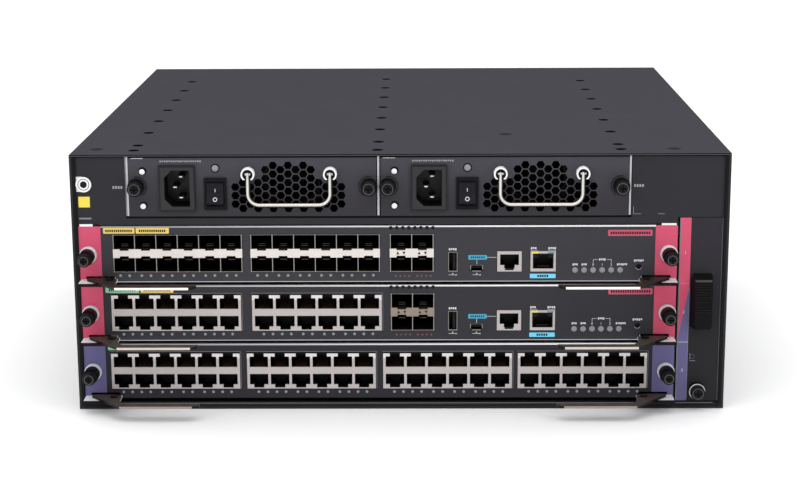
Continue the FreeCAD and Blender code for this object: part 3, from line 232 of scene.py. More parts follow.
# Prints
inks = {
    "white_ink": tone(206, 208, 212), "dim_ink": tone(150, 152, 158), "rose_ink": tone(138, 88, 100),
    "yellow_ink": tone(240, 214, 84), "pale_yellow_ink": tone(226, 198, 104),
    "green_ink": tone(146, 202, 164), "pink_ink": tone(196, 84, 110),
    "blue_ink": tone(112, 204, 238, rough=0.45), "teal_ink": tone(70, 158, 188, rough=0.45),
    "black_ink": deep_black, "led_teal": tone(110, 140, 142),
}
card_inks = ("pale_yellow_ink", "green_ink", "pink_ink", "blue_ink", "teal_ink", "white_ink",
             "dim_ink", "rose_ink", "black_ink")
PALE_YELLOW, GREEN, PINK, BLUE, TEAL, WHITE, DIM, ROSE, BLACK = range(len(card_inks))

# Fine structure: scale and strength of the mottling, the change in gloss and the bumps
coated = Surface((900.0, 0.08), (60.0, 0.05), (1300.0, 0.035))
sheet = Surface((120.0, 0.06), (180.0, 0.07), (700.0, 0.01))
moulded = Surface((300.0, 0.08), (240.0, 0.06), (2200.0, 0.012))
printed = Surface((700.0, 0.04), (500.0, 0.04), (1300.0, 0.02))
stamped = Surface((260.0, 0.05), (200.0, 0.06), (900.0, 0.012))


class Graph:
    """One procedural material on a principled shader."""

    def __init__(self, name, look):
        self.material = bpy.data.materials.new(name)
        self.material.use_nodes = True
        self.nodes = self.material.node_tree.nodes
        self.links = self.material.node_tree.links
        self.shader = self.nodes["Principled BSDF"]
        self.colour, self.metal, self.rough = look
        coords = self.nodes.new("ShaderNodeTexCoord")
        self.point = coords.outputs["Object"]
        self.place = self.split(self.point)
        self.facing = self.split(coords.outputs["Normal"])

    def put(self, value, socket):
        if isinstance(value, bpy.types.NodeSocket):
            self.links.new(value, socket)
        else:
            socket.default_value = value

    def split(self, vector):
        node = self.nodes.new("ShaderNodeSeparateXYZ")
        self.links.new(vector, node.inputs[0])
        return dict(zip("xyz", node.outputs))

    def calc(self, operation, first, second=0.0, third=0.0):
        node = self.nodes.new("ShaderNodeMath")
        node.operation = operation
        for value, socket in zip((first, second, third), node.inputs):
            self.put(value, socket)
        return node.outputs[0]

    def blend(self, first, second, factor, kind="FLOAT"):
        if not isinstance(first, bpy.types.NodeSocket) and first == second:
            return first
        node = self.nodes.new("ShaderNodeMix")
        node.data_type = kind
        a, b, result = (2, 3, 0) if kind == "FLOAT" else (6, 7, 2)
        self.put(factor, node.inputs[0])
        self.put(first, node.inputs[a])
        self.put(second, node.inputs[b])
        return node.outputs[result]

    def inside(self, x=None, y=None, z=None):
        # Masks what lies between the limits on each axis. None leaves a limit open.
        factor = None
        for axis, limits in zip("xyz", (x, y, z)):
            for operation, limit in zip(("GREATER_THAN", "LESS_THAN"), limits or ()):
                if limit is None:
                    continue
                step = self.calc(operation, self.place[axis], limit * MM)
                factor = step if factor is None else self.calc("MULTIPLY", factor, step)
        return factor

    def ahead(self, depth, base=face):
        # Masks what lies in front of a plane at some depth behind a face.
        return self.inside(y=(None, depth - base))

    def behind(self, depth, base=face):
        return self.inside(y=(depth - base, None))

    def disc(self, x, other, radius, axis="z"):
        across = self.calc("SUBTRACT", self.place["x"], x * MM)
        along = self.calc("SUBTRACT", self.place[axis], other * MM)
        square = self.calc("ADD", self.calc("MULTIPLY", across, across), self.calc("MULTIPLY", along, along))
        return self.calc("LESS_THAN", square, (radius * MM) ** 2)

    def rising(self, axis, low, high):
        # Runs from 0 to 1 between two places on one axis.
        height = self.calc("MULTIPLY_ADD", self.place[axis], 1.0 / ((high - low) * MM), -low / (high - low))
        return self.clamped(height)

    def clamped(self, value):
        return self.calc("MINIMUM", self.calc("MAXIMUM", value, 0.0), 1.0)

    def both(self, first, *others):
        for mask in others:
            first = self.calc("MULTIPLY", first, mask)
        return first

    def either(self, masks):
        factor = masks[0]
        for mask in masks[1:]:
            factor = self.calc("MAXIMUM", factor, mask)
        return factor

    def zone(self, look, *masks):
        # Gives a look to what lies in every one of the masks.
        mask = self.both(*masks)
        self.colour = self.blend(self.colour, look.colour, mask, "RGBA")
        self.metal = self.blend(self.metal, look.metal, mask)
        self.rough = self.blend(self.rough, look.rough, mask)

    def noise(self, scale, detail=3.0, stretch=(1, 1, 1)):
        mapping = self.nodes.new("ShaderNodeMapping")
        mapping.inputs["Scale"].default_value = stretch
        self.links.new(self.point, mapping.inputs["Vector"])
        node = self.nodes.new("ShaderNodeTexNoise")
        node.inputs["Scale"].default_value = scale
        node.inputs["Detail"].default_value = detail
        self.links.new(mapping.outputs[0], node.inputs["Vector"])
        return node.outputs["Fac"]

    def mottle(self, scale, amount):
        # Lightens and darkens the colour a little, over patches of one scale.
        level = self.calc("MULTIPLY_ADD", self.noise(scale), 2 * amount, 1 - amount)
        node = self.nodes.new("ShaderNodeVectorMath")
        node.operation = "SCALE"
        linked = isinstance(self.colour, bpy.types.NodeSocket)
        self.put(self.colour if linked else self.colour[:3], node.inputs[0])
        self.links.new(level, node.inputs["Scale"])
        self.colour = node.outputs[0]

    def vary_rough(self, scale, amount):
        level = self.calc("MULTIPLY_ADD", self.noise(scale), 2 * amount, -amount)
        self.rough = self.calc("ADD", self.rough, level)

    def bump(self, scale, height, stretch):
        node = self.nodes.new("ShaderNodeBump")
        node.inputs["Strength"].default_value = 1.0
        node.inputs["Distance"].default_value = height * MM
        self.links.new(self.noise(scale, 2.0, stretch), node.inputs["Height"])
        self.links.new(node.outputs[0], self.shader.inputs["Normal"])

    def done(self, surface, shine=0.2, stretch=(1, 1, 1)):
        self.mottle(*surface.mottle)
        if surface.rough:
            self.vary_rough(*surface.rough)
        self.bump(*surface.bump, stretch)
        self.put(self.colour, self.shader.inputs["Base Color"])
        self.put(self.metal, self.shader.inputs["Metallic"])
        self.put(self.rough, self.shader.inputs["Roughness"])
        self.shader.inputs["Specular IOR Level"].default_value = shine
        return self.material


# Materials


def powder_coat(graph, shine=0.15):
    graph.mottle(38.0, 0.05)
    return graph.done(coated, shine)


def metal(name, look, height=0.004):
    return Graph(name, look).done(sheet._replace(bump=(700.0, height)))


def plastic(name, look, shine=0.12):
    return Graph(name, look).done(moulded, shine)


def cover_paint():
    graph = Graph("cover_paint", cover_grey)
    # Painted shade over the front of the lip, with a painted highlight on a band of it, as on a rounded fold
    graph.zone(deep_black, graph.ahead(0.8, front_edge))
    graph.zone(cover_lip_highlight, graph.inside(y=(None, 0.35 - front_edge), z=(cover_top - 0.95, cover_top - 0.4)))
    graph.zone(deep_black, graph.inside(x=(-210.0, 210.0), y=(1.0 - front_edge, None),
                                        z=(cover_top - 0.6, cover_top - 0.06)))
    for x, place in cover_marks:
        graph.zone(cover_mark, graph.disc(x, place - front_edge, 4.4, "y"))
    return powder_coat(graph, 0.0)


def frame_paint():
    graph = Graph("frame_paint", charcoal)
    sill_front = 4.0 - front_edge
    graph.zone(deep_black, graph.either([graph.inside(x=(None, -214.25)), graph.inside(x=(214.25, None))]))
    # Painted shadow under the cover's lip, along the top of the front faces
    graph.zone(deep_black, graph.inside(y=(None, 0.5 - face), z=(psu_top - 0.45, None)))
    # Painted shade in the gaps below the lowest card, and the sill's own brown face with painted highlights
    # along two of its edges
    graph.zone(deep_black, graph.inside(z=(None, 5.2)))
    graph.zone(sill_brown, graph.inside(y=(None, sill_front), z=(1.0, 3.2)))
    for heights in ((0.3, 0.7), (3.4, 3.85)):
        graph.zone(soft_edge, graph.inside(x=(-211.0, 211.0), y=(None, sill_front), z=heights))
    graph.zone(plated, graph.inside(y=(-206.8, None), z=(5.3, 131.6)))
    return powder_coat(graph)


def shelf_material():
    graph = Graph("shelf_metal", plated)
    # Painted shade over the front of the shelf, the dark line between the power supplies and the cards
    graph.zone(deep_black, graph.ahead(12.5, front_edge))
    left, middle, right = partition_edges
    for x0, x1, look in ((left, left + 0.8, soft_edge), (left + 0.8, left + 2.1, pale_edge),
                         (middle + 0.3, middle + 1.6, pale_edge), (right + 0.1, right + 1.3, pale_edge)):
        graph.zone(look, graph.inside(x=(x0, x1), y=(None, 2.0 - front_edge), z=(psu_bottom + 0.3, None)))
    return graph.done(sheet)


def divider_material():
    graph = Graph("divider_metal", plated)
    # Painted shade over the front edge, in the gap between the cards and the fan tray
    graph.zone(deep_black, graph.ahead(4.5, front_edge))
    return graph.done(sheet)


def case_material(number):
    # Plated outside, with painted shade all over the inside, so that the vent in front of it looks dark.
    graph = Graph(f"psu_{number}_case_metal", deep_black)
    low, high = node_box(f"psu_{number}_case")
    graph.zone(plated, graph.either([
        graph.inside(x=(None, low.x + 0.1)), graph.inside(x=(high.x - 0.1, None)),
        graph.inside(z=(None, low.z + 0.1)), graph.inside(z=(high.z - 0.1, None)),
        graph.inside(y=(high.y - 10.0, None))]))
    return graph.done(sheet._replace(rough=None))


def tray_paint():
    graph = Graph("tray_paint", tray_charcoal)
    left, right = tray_strip
    low, high = tray_slant
    front = (None, 0.5 - face)
    # Painted shade, darker towards the bottom
    graph.zone(tray_shade, graph.rising("z", 115.0, 70.0))
    graph.zone(plated, graph.behind(1.0))
    slope = (high - low) / (right - left)
    rise = graph.calc("MULTIPLY_ADD", graph.place["x"], -slope, graph.place["z"])
    height = graph.calc("MULTIPLY_ADD", rise, 1.0 / (tray_slant_blur * MM),
                        0.5 - (low - slope * left) / tray_slant_blur)
    strip = graph.inside(x=tray_strip, y=front)
    graph.zone(violet, strip)
    graph.zone(pink, strip, graph.clamped(height))
    # Painted highlights along the left and right edges of the tray
    for edge in ((None, left), (213.7, None)):
        graph.zone(soft_edge, graph.inside(x=edge, y=front))
    graph.zone(black_plastic, graph.ahead(-0.05))
    return powder_coat(graph)


def psu_paint(number):
    graph = Graph(f"psu_{number}_paint", psu_charcoal)
    centre = psu_centre[number]
    proud = graph.ahead(-0.05)
    # Painted shade, darker towards the lower edge
    graph.zone(psu_shade, graph.rising("z", psu_top - 4.0, psu_bottom + 6.0))
    # Painted shadow under the cover's lip along the top, and painted shade on every face set back behind the
    # front, such as the vent cells
    graph.zone(deep_black, graph.inside(z=(psu_top - 0.45, None)))
    graph.zone(deep_black, graph.behind(0.2))
    lamp_x, lamp_z = centre + psu_lamp[0], psu_bottom + psu_lamp[1]
    graph.zone(deep_black, graph.disc(lamp_x, lamp_z, 3.0))
    graph.zone(lens, graph.disc(lamp_x, lamp_z, 2.2), proud)
    boss_z = psu_bottom + psu_boss_height
    for side in sides:
        boss_x = centre + psu_boss_x + side * psu_boss_spread
        boss = graph.disc(boss_x, boss_z, 4.6)
        ring = graph.calc("SUBTRACT", boss, graph.disc(boss_x, boss_z, 3.45))
        # Painted shade over the front of each handle boss, and a painted highlight on the upper part of its
        # rim
        graph.zone(deep_black, boss, proud)
        graph.zone(bright_edge, ring, proud, graph.inside(z=(boss_z - 3.4, None)))
        graph.zone(black_plastic, graph.disc(centre + side * psu_screw_x, psu_middle, 6.2), proud)
    for height in psu_rivet_heights:
        graph.zone(deep_black, graph.disc(centre + psu_rivet_x + 0.3, psu_bottom + height + 0.5, 2.7))
        graph.zone(bright_edge, graph.disc(centre + psu_rivet_x, psu_bottom + height, 1.75), proud)
    return powder_coat(graph)


def card_paint(number):
    graph = Graph(f"card_{number}_paint", card_faces_shaded_downward[number])
    top, bottom = card_top[number], card_bottom[number]
    field_left, field_right = card_field_edges
    front = graph.inside(y=(-face - 0.05, 0.1 - face))
    proud = graph.ahead(-0.05)
    ends = graph.either([graph.inside(x=(card_left + 0.3, field_left)),
                         graph.inside(x=(field_right, card_right - 0.2))])
    # Painted shade on the faceplate's cut edges just behind its front; further back the flanges are bare
    # plated metal
    graph.zone(deep_black, graph.behind(0.3))
    graph.zone(plated, graph.behind(1.25))
    # Painted shade at the right end, in the gap beside the fan tray
    graph.zone(deep_black, graph.inside(x=(card_right - 0.05, None)))
    # The bare top flange, with a painted sheen that brightens towards the right
    strip = graph.inside(x=card_field_edges, y=(None, 2.05 - face), z=(top - 0.9, None))
    graph.zone(strip_grey, strip)
    graph.zone(bright_edge, strip, graph.rising("x", -160.0, 60.0))
    graph.zone(violet if number == 3 else pink, ends, front, graph.inside(z=(bottom + 2.0, None)))
    # Painted highlight along the lower edge and up the sides of the notches; on the lowest card a painted
    # dark line instead
    left, right = card_left + 23.4, card_right - 23.4
    rim = [graph.inside(x=(left, right), z=(None, bottom + 0.45)),
           graph.inside(x=(left, left + 0.5), z=(None, bottom + 3.5)),
           graph.inside(x=(right - 0.5, right), z=(None, bottom + 3.5))]
    graph.zone(deep_black if number == 3 else pale_edge, front, graph.either(rim))
    ear_top = bottom + 2.05
    graph.zone(bright_edge, proud, graph.inside(z=(None, ear_top)))
    # Painted shade on the forward part of each ear, and the same dark tone on the rivet heads above it
    graph.zone(lever_shade_black, graph.inside(y=(None, -face - 12.0), z=(None, ear_top)))
    graph.zone(lever_shade_black, proud, graph.inside(z=(ear_top, bottom + 6.0)))
    screws = graph.either([graph.disc(x, top - card_screw_below_top, 6.2) for x in card_screw_xs])
    graph.zone(ferrule, proud, screws)
    # Painted shade on the screw sleeves, between the ferrule rims and the knobs
    graph.zone(deep_black, graph.ahead(-4.5), screws)
    if number in service_cards:
        lamps = [graph.disc(x, board_top[number] + status_z_above_board, 1.95) for x in status_xs]
        graph.zone(lens, graph.either(lamps), proud)
    return powder_coat(graph)


def jack_material():
    graph = Graph("jack_shield", deep_black)
    front = graph.ahead(0.7, block_face)
    graph.zone(jack_metal, front)
    for number in jack_blocks:
        top = board_top[number] + jack_height
        graph.zone(jack_bright, front, graph.inside(z=(top - 4.2, top)))
        graph.zone(deep_black, front, graph.inside(z=(top - 0.75, top + 0.1)))
    return graph.done(stamped)


def cage_material(number):
    # Dark metal all over, as painted shade inside the cages; the front edges and the band are lighter
    graph = Graph(f"card_{number}_cage_metal", cage_inside_shade)
    low, high = board_top[number], board_top[number] + cage_height
    middle = board_top[number] + cage_height / 2
    lines = [graph.inside(z=(low + 0.1, low + 0.5)), graph.inside(z=(high - 0.5, high - 0.1))]
    for left, count in cage_blocks[number]:
        place = graph.calc("SUBTRACT", graph.place["x"], left * MM)
        step = graph.calc("MODULO", place, cage_pitch * MM)
        lines.append(graph.both(graph.calc("GREATER_THAN", step, 0.2 * MM),
                                graph.calc("LESS_THAN", step, 0.65 * MM),
                                graph.inside(x=(left, left + count * cage_pitch + cage_wall))))
    graph.zone(cage_edge, graph.ahead(0.5, block_face), graph.either(lines))
    graph.zone(cage_bands[number], graph.inside(y=(None, 1.5 - block_face), z=(middle - 3.0, middle + 3.0)))
    return graph.done(stamped._replace(mottle=(260.0, 0.06)))


def service_material(number):
    graph = Graph(f"card_{number}_service", black_plastic)
    rim = graph.ahead(0.9, block_face)
    low = board_top[number]
    usb, mini, console, network = usb_port[0], mini_port[0], console_port[0], management_port[0]
    # The ports' openings are painted black on the front: the black plastic inside them, and painted shade
    # where the opening would lie deeper
    dark = [graph.inside(x=(usb + 0.4, usb + 5.8), z=(low + 1.0, low + 13.1)),
            graph.inside(x=(mini + 0.7, mini + 7.8), z=(low + 1.0, low + 4.3)),
            graph.inside(x=(console + 5.2, console + 11.0), z=(low + 0.9, low + 4.0)),
            graph.inside(x=(network + 1.5, network + 15.3), z=(low + 2.0, low + 12.3))]
    corners = [graph.inside(x=(mini + x, mini + x + 1.4), z=(low - 0.1, low + 1.4)) for x in (-0.1, 7.2)]
    graph.zone(jack_metal, rim)
    graph.zone(shell_grey, rim, graph.inside(x=(None, console - 2.0)))
    graph.zone(deep_black, rim, graph.either(dark))
    graph.zone(card_faces_shaded_downward[number], rim, graph.either(corners))
    return graph.done(stamped._replace(rough=None))


def grip_material():
    # Black, with a painted highlight on the upper side of each rib.
    graph = Graph("grip_plastic", grip_black)
    graph.zone(grip_rib_highlight, graph.calc("GREATER_THAN", graph.facing["z"], 0.3),
               graph.inside(y=(None, -face - 4.0), z=(56.0, 90.8)))
    return graph.done(moulded, 0.1)


def handle_material():
    # Painted highlight where it faces forwards and up, and painted shade elsewhere.
    graph = Graph("handle_nickel", handle_shade)
    lit = graph.calc("MULTIPLY_ADD", graph.facing["y"], -0.95, -0.72)
    lit = graph.calc("MULTIPLY_ADD", graph.facing["z"], 0.3, lit)
    lit = graph.calc("MULTIPLY_ADD", graph.facing["x"], -0.15, lit)
    graph.zone(handle_highlight, graph.clamped(graph.calc("MULTIPLY", lit, 4.5)))
    return graph.done(sheet._replace(bump=(700.0, 0.004)))


def inlet_material(number):
    graph = Graph(f"psu_{number}_inlet_plastic", black_plastic)
    x, z = psu_centre[number] + psu_inlet[0], psu_bottom + psu_inlet[1]
    pins, pin_glints = [], []
    for step in (-1, 0, 1):
        pin_x = x + (2.0 if step else -2.0)
        pin_z = z + 7.0 * step
        pins.append(graph.inside(x=(pin_x - 2.05, pin_x + 2.05), z=(pin_z - 1.05, pin_z + 1.05)))
        pin_glints.append(graph.inside(x=(pin_x - 1.1, pin_x + 1.1), z=(pin_z - 0.4, pin_z + 0.35)))
    low, high = node_box(f"psu_{number}_inlet")
    graph.zone(inlet_face, graph.inside(x=(low.x + 1.0, high.x - 1.0), y=(None, -face - 0.05),
                                        z=(low.z + 1.0, high.z - 1.0)))
    # The pins take a dark metal as a painted dark reflection, and a small patch on each front a painted
    # glint
    graph.zone(pin_shaded_metal, graph.either(pins), graph.inside(y=(1.0 - face, 15.95 - face)))
    graph.zone(bright_edge, graph.either(pin_glints), graph.inside(y=(1.0 - face, 4.0 - face)))
    return graph.done(moulded._replace(rough=(240.0, 0.05)), 0.3)


def lever_material(number):
    # The front edges catch the light, and the slanted sides behind them don't.
    graph = Graph(f"lever_steel_{number}", lever_tops[number])
    graph.zone(lever_shade_black, graph.calc("LESS_THAN", graph.facing["y"], -0.3))
    graph.zone(lever_edge_highlights[number], graph.calc("LESS_THAN", graph.facing["y"], -0.96))
    return graph.done(Surface((160.0, 0.1), (200.0, 0.08), (700.0, 0.012)), stretch=(0.08, 1, 1))


def board_material():
    graph = Graph("circuit_board", board_green)
    heights = [(board_top[number] + 0.05, board_top[number] + 30) for number in card_numbers]
    graph.zone(chip_black, graph.either([graph.inside(z=limits) for limits in heights]))
    graph.zone(aluminium, graph.either([graph.inside(x=(-47, 17), y=(-64, 2), z=limits)
                                        for limits in heights]))
    return graph.done(Surface((500.0, 0.12), (200.0, 0.06), (1100.0, 0.02)))


def backplane_material():
    graph = Graph("backplane_board", board_green)
    graph.zone(header_white, graph.inside(y=(None, 125.9)))
    return graph.done(Surface((500.0, 0.1), None, (900.0, 0.02)))


def floor_material():
    return Graph("studio_floor", floor_white).done(Surface((3.0, 0.006), None, (40.0, 0.02)))


# Materials of the pieces that are made here
materials = {
    "dimple": powder_coat(Graph("dimple_paint", dimple_black), 0.0),
    "nickel": metal("nickel", nickel),
    "edge_metal": metal("edge_metal", bright_edge),
    "pale_metal": metal("pale_metal", pale_steel),
    "tab_metal": metal("tab_metal", tab_steel),
    "dull_gold": metal("dull_gold", contact_gold, 0.003),
    "blackened": metal("black_oxide", screw_oxide, 0.006),
    "black": plastic("black_plastic", black_plastic),
    "knob": plastic("knob_plastic", knob_black),
    "knob_ring": plastic("knob_ring", knob_grey),
    "lens": plastic("lamp_lens", lens),
}
for ink_name, ink_look in inks.items():
    materials[ink_name] = Graph(ink_name, ink_look).done(printed)


def dress(material, *nodes):
    for node in nodes:
        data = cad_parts[node].data
        data.materials.clear()
        data.materials.append(material)


def finish_nodes():
    dress(powder_coat(Graph("chassis_paint", charcoal)), "base_tray")
    dress(powder_coat(Graph("rear_paint", charcoal)), "rear_panel")
    dress(cover_paint(), "top_cover")
    dress(frame_paint(), "front_frame")
    dress(shelf_material(), "psu_shelf")
    dress(divider_material(), "cage_divider")
    dress(plastic("guide_plastic", guide_grey), "card_guides")
    dress(backplane_material(), "backplane")
    dress(materials["nickel"], "esd_jack")
    dress(tray_paint(), "fan_tray")
    dress(grip_material(), "fan_tray_grip")
    dress(materials["knob"], "fan_tray_screw")
    dress(plastic("fan_plastic", fan_black), "fan_frames", *(f"fan_rotor_{n}" for n in fan_numbers))
    dress(board_material(), *(f"card_{n}_board" for n in card_numbers))
    dress(jack_material(), *(f"card_{n}_jacks" for n in jack_blocks))
    dress(materials["black"], *(f"psu_{n}_switch_frame" for n in psu_numbers),
          *(f"card_{n}_reset" for n in service_cards))
    dress(plastic("rocker_plastic", rocker_black, 0.05), *(f"psu_{n}_rocker" for n in psu_numbers))
    dress(plastic("dark_fan_plastic", deep_black, 0.05), *(f"psu_{n}_fan_rotor" for n in psu_numbers))
    dress(handle_material(), *(f"psu_{n}_handle" for n in psu_numbers))
    for number in psu_numbers:
        dress(psu_paint(number), f"psu_{number}_front")
        dress(inlet_material(number), f"psu_{number}_inlet")
        dress(case_material(number), f"psu_{number}_case")
    for number in card_numbers:
        dress(card_paint(number), f"card_{number}_faceplate")
        dress(lever_material(number), f"card_{number}_lever_left", f"card_{number}_lever_right")
    for number in service_cards:
        dress(cage_material(number), f"card_{number}_cages")
        dress(service_material(number), f"card_{number}_service_ports")


def link(piece):
    bpy.context.scene.collection.objects.link(piece)


def add_piece(name, data, finishes, body):
    piece = bpy.data.objects.new(name, data)
    link(piece)
    for finish in finishes:
        data.materials.append(materials[finish])
    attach(piece, body)
    return piece


class Shape:
    """Gathers closed forms into one mesh. On the front side the outward z is minus the row's y."""

    def __init__(self, side=FRONT):
        self.mesh = bmesh.new()
        self.side = side

    def points(self, places):
        return [self.mesh.verts.new(self.side @ Vector(place)) for place in places]

    def face(self, corners, paint=0):
        face = self.mesh.faces.new(corners)
        face.material_index = paint

    def skin(self, rings, paint=0):
        for below, above in zip(rings, rings[1:]):
            for index in range(len(below)):
                after = (index + 1) % len(below)
                self.face([below[index], below[after], above[after], above[index]], paint)

    def prism(self, outline, low, high, paint=0, inset=0.0):
        # A flat form between two heights. With an inset its upper edge is chamfered.
        rings = [self.points([(x, y, low) for x, y in outline])]
        if inset:
            rings.append(self.points([(x, y, high - inset) for x, y in outline]))
            outline = shrunk(outline, inset)
        rings.append(self.points([(x, y, high) for x, y in outline]))
        self.face(rings[0][::-1], paint)
        self.face(rings[-1], paint)
        self.skin(rings, paint)

    def plate(self, x0, x1, y0, y1, low, high, paint=0, inset=0.0):
        self.prism([(x0, y0), (x1, y0), (x1, y1), (x0, y1)], low, high, paint, inset)

    def ring(self, x, y, radius, height, segments, groove=0.0):
        # A circle of points. With a groove every other point lies deeper.
        places = []
        for step in range(segments):
            angle = 2 * math.pi * step / segments
            reach = radius - groove * (step % 2)
            places.append((x + reach * math.cos(angle), y + reach * math.sin(angle), height))
        return self.points(places)

    def turned(self, x, y, profile, paint=0, segments=32, grooved=()):
        # The profile lists (radius, height) pairs from the back to the front. The front stays open.
        rings = [self.ring(x, y, radius, height, segments, knurl_depth if index in grooved else 0.0)
                 for index, (radius, height) in enumerate(profile)]
        self.face(rings[0][::-1], paint)
        self.skin(rings, paint)
        return rings[-1]

    def cross_cap(self, ring, x, y, height, arm, reach, depth):
        # Closes a ring with a flat face that has a cross sunk into it.
        w, r = arm / 2, reach
        cross = [(w, w), (w, r), (-w, r), (-w, w), (-r, w), (-r, -w), (-w, -w), (-w, -r),
                 (w, -r), (w, -w), (r, -w), (r, w)]
        top = self.points([(x + u, y + v, height) for u, v in cross])
        floor = self.points([(x + 0.8 * u, y + 0.8 * v, height - depth) for u, v in cross])
        self.skin([top, floor])
        self.face(floor)
        edges = []
        for loop in (ring, top):
            for index in range(len(loop)):
                pair = (loop[index], loop[(index + 1) % len(loop)])
                edges.append(self.mesh.edges.get(pair) or self.mesh.edges.new(pair))
        bmesh.ops.triangle_fill(self.mesh, use_beauty=True, edges=edges)

    def dome(self, x, y, radius, low, height, segments=20, rings=4):
        profile = []
        for step in range(rings):
            angle = math.pi / 2 * step / rings
            profile.append((radius * math.cos(angle), low + height * math.sin(angle)))
        self.face(self.turned(x, y, profile, 0, segments))

    def done(self, name, body, finishes, slot):
        bmesh.ops.recalc_face_normals(self.mesh, faces=self.mesh.faces)
        bmesh.ops.scale(self.mesh, vec=(MM, MM, MM), verts=self.mesh.verts)
        data = bpy.data.meshes.new(name)
        self.mesh.to_mesh(data)
        self.mesh.free()
        data.shade_smooth()
        data.set_sharp_from_angle(angle=math.radians(35.0))
        return add_piece(name, data, finishes, body)


def shrunk(outline, amount):
    # Moves each corner of a convex outline inwards by the same distance from its two edges.
    moved = []
    count = len(outline)
    area = sum(outline[i][0] * outline[(i + 1) % count][1] - outline[(i + 1) % count][0] * outline[i][1]
               for i in range(count))
    turn = 1 if area > 0 else -1
    for index in range(count):
        before = Vector(outline[index]) - Vector(outline[index - 1])
        after = Vector(outline[(index + 1) % count]) - Vector(outline[index])
        normals = [Vector((-edge.y, edge.x)).normalized() * turn for edge in (before, after)]
        bisector = normals[0] + normals[1]
        scale = amount / max(0.2, bisector.length_squared / 2)
        moved.append(tuple(Vector(outline[index]) + bisector * scale))
    return moved


def rounded(x0, x1, y0, y1, radius, steps=5):
    outline = []
    corners = ((x1 - radius, y0 + radius, -90), (x1 - radius, y1 - radius, 0),
               (x0 + radius, y1 - radius, 90), (x0 + radius, y0 + radius, 180))
    for x, y, start in corners:
        for step in range(steps + 1):
            angle = math.radians(start + 90.0 * step / steps)
            outline.append((x + radius * math.cos(angle), y + radius * math.sin(angle)))
    return outline


# Thumbscrews, one for each node of that kind

knurl_points = 72
knurl_depth = 0.28
thread_pitch = 0.7
thread_radii = (1.9, 1.6)


def thumbscrew(node, head_length=7.5):
    low, high = node_box(node)
    x, z = node_centre(node)
    radius = (high.x - low.x) / 2
    front, tail = -low.y, -high.y
    back = front - head_length
    crest, root = thread_radii
    shape = Shape()
    shank = [(1.5, tail), (crest, tail + 0.4)]
    thread_end = tail + 6.0
    height = tail + 0.8
    while height < thread_end:
        shank += [(crest, height), (root, height + thread_pitch / 2)]
        height += thread_pitch
    shank += [(crest, thread_end), (crest, back)]
    shape.face(shape.turned(x, z, shank, 1, 20), 1)
    head = [(radius - 1.0, back), (radius - 0.3, back), (radius - 0.02, back + 0.6),
            (radius - 0.02, front - 0.9), (radius - 0.5, front - 0.25), (radius - 0.9, front)]
    rings = [shape.turned(x, z, head, 0, knurl_points, grooved=(2, 3))]
    for inset, depth in ((1.2, 0.0), (1.3, 0.25), (1.7, 0.25), (1.9, 0.05)):
        rings.append(shape.ring(x, z, radius - inset, front - depth, knurl_points))
    shape.skin(rings[:2], 0)
    shape.skin(rings[1:4], 2)
    shape.skin(rings[3:], 0)
    shape.cross_cap(rings[-1], x, z, front - 0.05, 0.95, 2.1, 1.5)
    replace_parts(shape.done(node + "_knob", node, ("knob", "blackened", "knob_ring"), "knob_plastic"), node)


def thumbscrews():
    for module in [f"psu_{n}" for n in psu_numbers] + [f"card_{n}" for n in card_numbers]:
        for side in ("left", "right"):
            thumbscrew(f"{module}_screw_{side}")
    thumbscrew("fan_tray_screw", 4.7)


def cover_screws():
    # Screws that lie in round dimples of the top cover.
    shape = Shape(TOP)
    floor = cover_top - cover_dimple_depth
    for x, first in cover_rows:
        for place in [cover_first_screw] + [first + cover_screw_pitch * step for step in range(7)]:
            y = place - front_edge
            ring = shape.turned(x, y, [(3.4, floor), (3.4, floor + 0.2), (3.1, floor + 0.38)], segments=28)
            shape.cross_cap(ring, x, y, floor + 0.38, 0.9, 1.9, 0.25)
    shape.done("cover_screws", "chassis", ("dimple",), "nickel")


# Lamps and rivets


def port_lamps():
    # Two lamps under each column of a block. The columns at a block's ends have theirs nearer together.
    half_gap = 3.05
    for number in card_numbers:
        shape = Shape()
        z = card_bottom[number] + 4.45
        if number == 1:
            blocks = [(left + 0.4, count, cage_pitch, 0.0) for left, count in cage_blocks[1] if count == 6]
        else:
            blocks = [(left + 1.6, count, jack_pitch, 1.9) for left, count in jack_blocks[number]]
        for left, count, pitch, end_shift in blocks:
            for column in range(count):
                middle = left + pitch * (column + 0.5)
                middle += end_shift * ((column == 0) - (column == count - 1))
                for side in sides:
                    shape.dome(middle + side * half_gap, z, 1.0, face - 0.05, 0.35, segments=14, rings=3)
        shape.done(f"card_{number}_port_lamps", f"card_{number}", ("lens",), "face_paint")


def small_lamps():
    for number in service_cards:
        shape = Shape()
        for x in status_xs:
            shape.dome(x, board_top[number] + status_z_above_board, 1.75, face + 0.28, 0.35)
        shape.done(f"card_{number}_status_lamps", f"card_{number}", ("lens",), "face_paint")
    for number in psu_numbers:
        shape = Shape()
        shape.dome(psu_centre[number] + psu_lamp[0], psu_bottom + psu_lamp[1], 2.2, face + 0.45, 0.7)
        shape.done(f"psu_{number}_lamp", f"psu_{number}", ("lens",), "face_paint")
        shape = Shape()
        for height in psu_rivet_heights:
            shape.dome(psu_centre[number] + psu_rivet_x, psu_bottom + height, 1.9, face + 0.65, 0.5)
        shape.done(f"psu_{number}_rivets", f"psu_{number}", ("edge_metal",), "nickel")


# Prints


def ink(shape, x0, x1, z0, z1, paint=0, base=face, height=print_height):
    shape.plate(x0, x1, z0, z1, base - print_sunk, base + height, paint)


def line(shape, x0, x1, z0, z1, paint=0, width=0.24):
    # A thin upright or level line between two places.
    side, rise = (width / 2, 0.0) if x0 == x1 else (0.0, width / 2)
    ink(shape, x0 - side, x1 + side, z0 - rise, z1 + rise, paint)


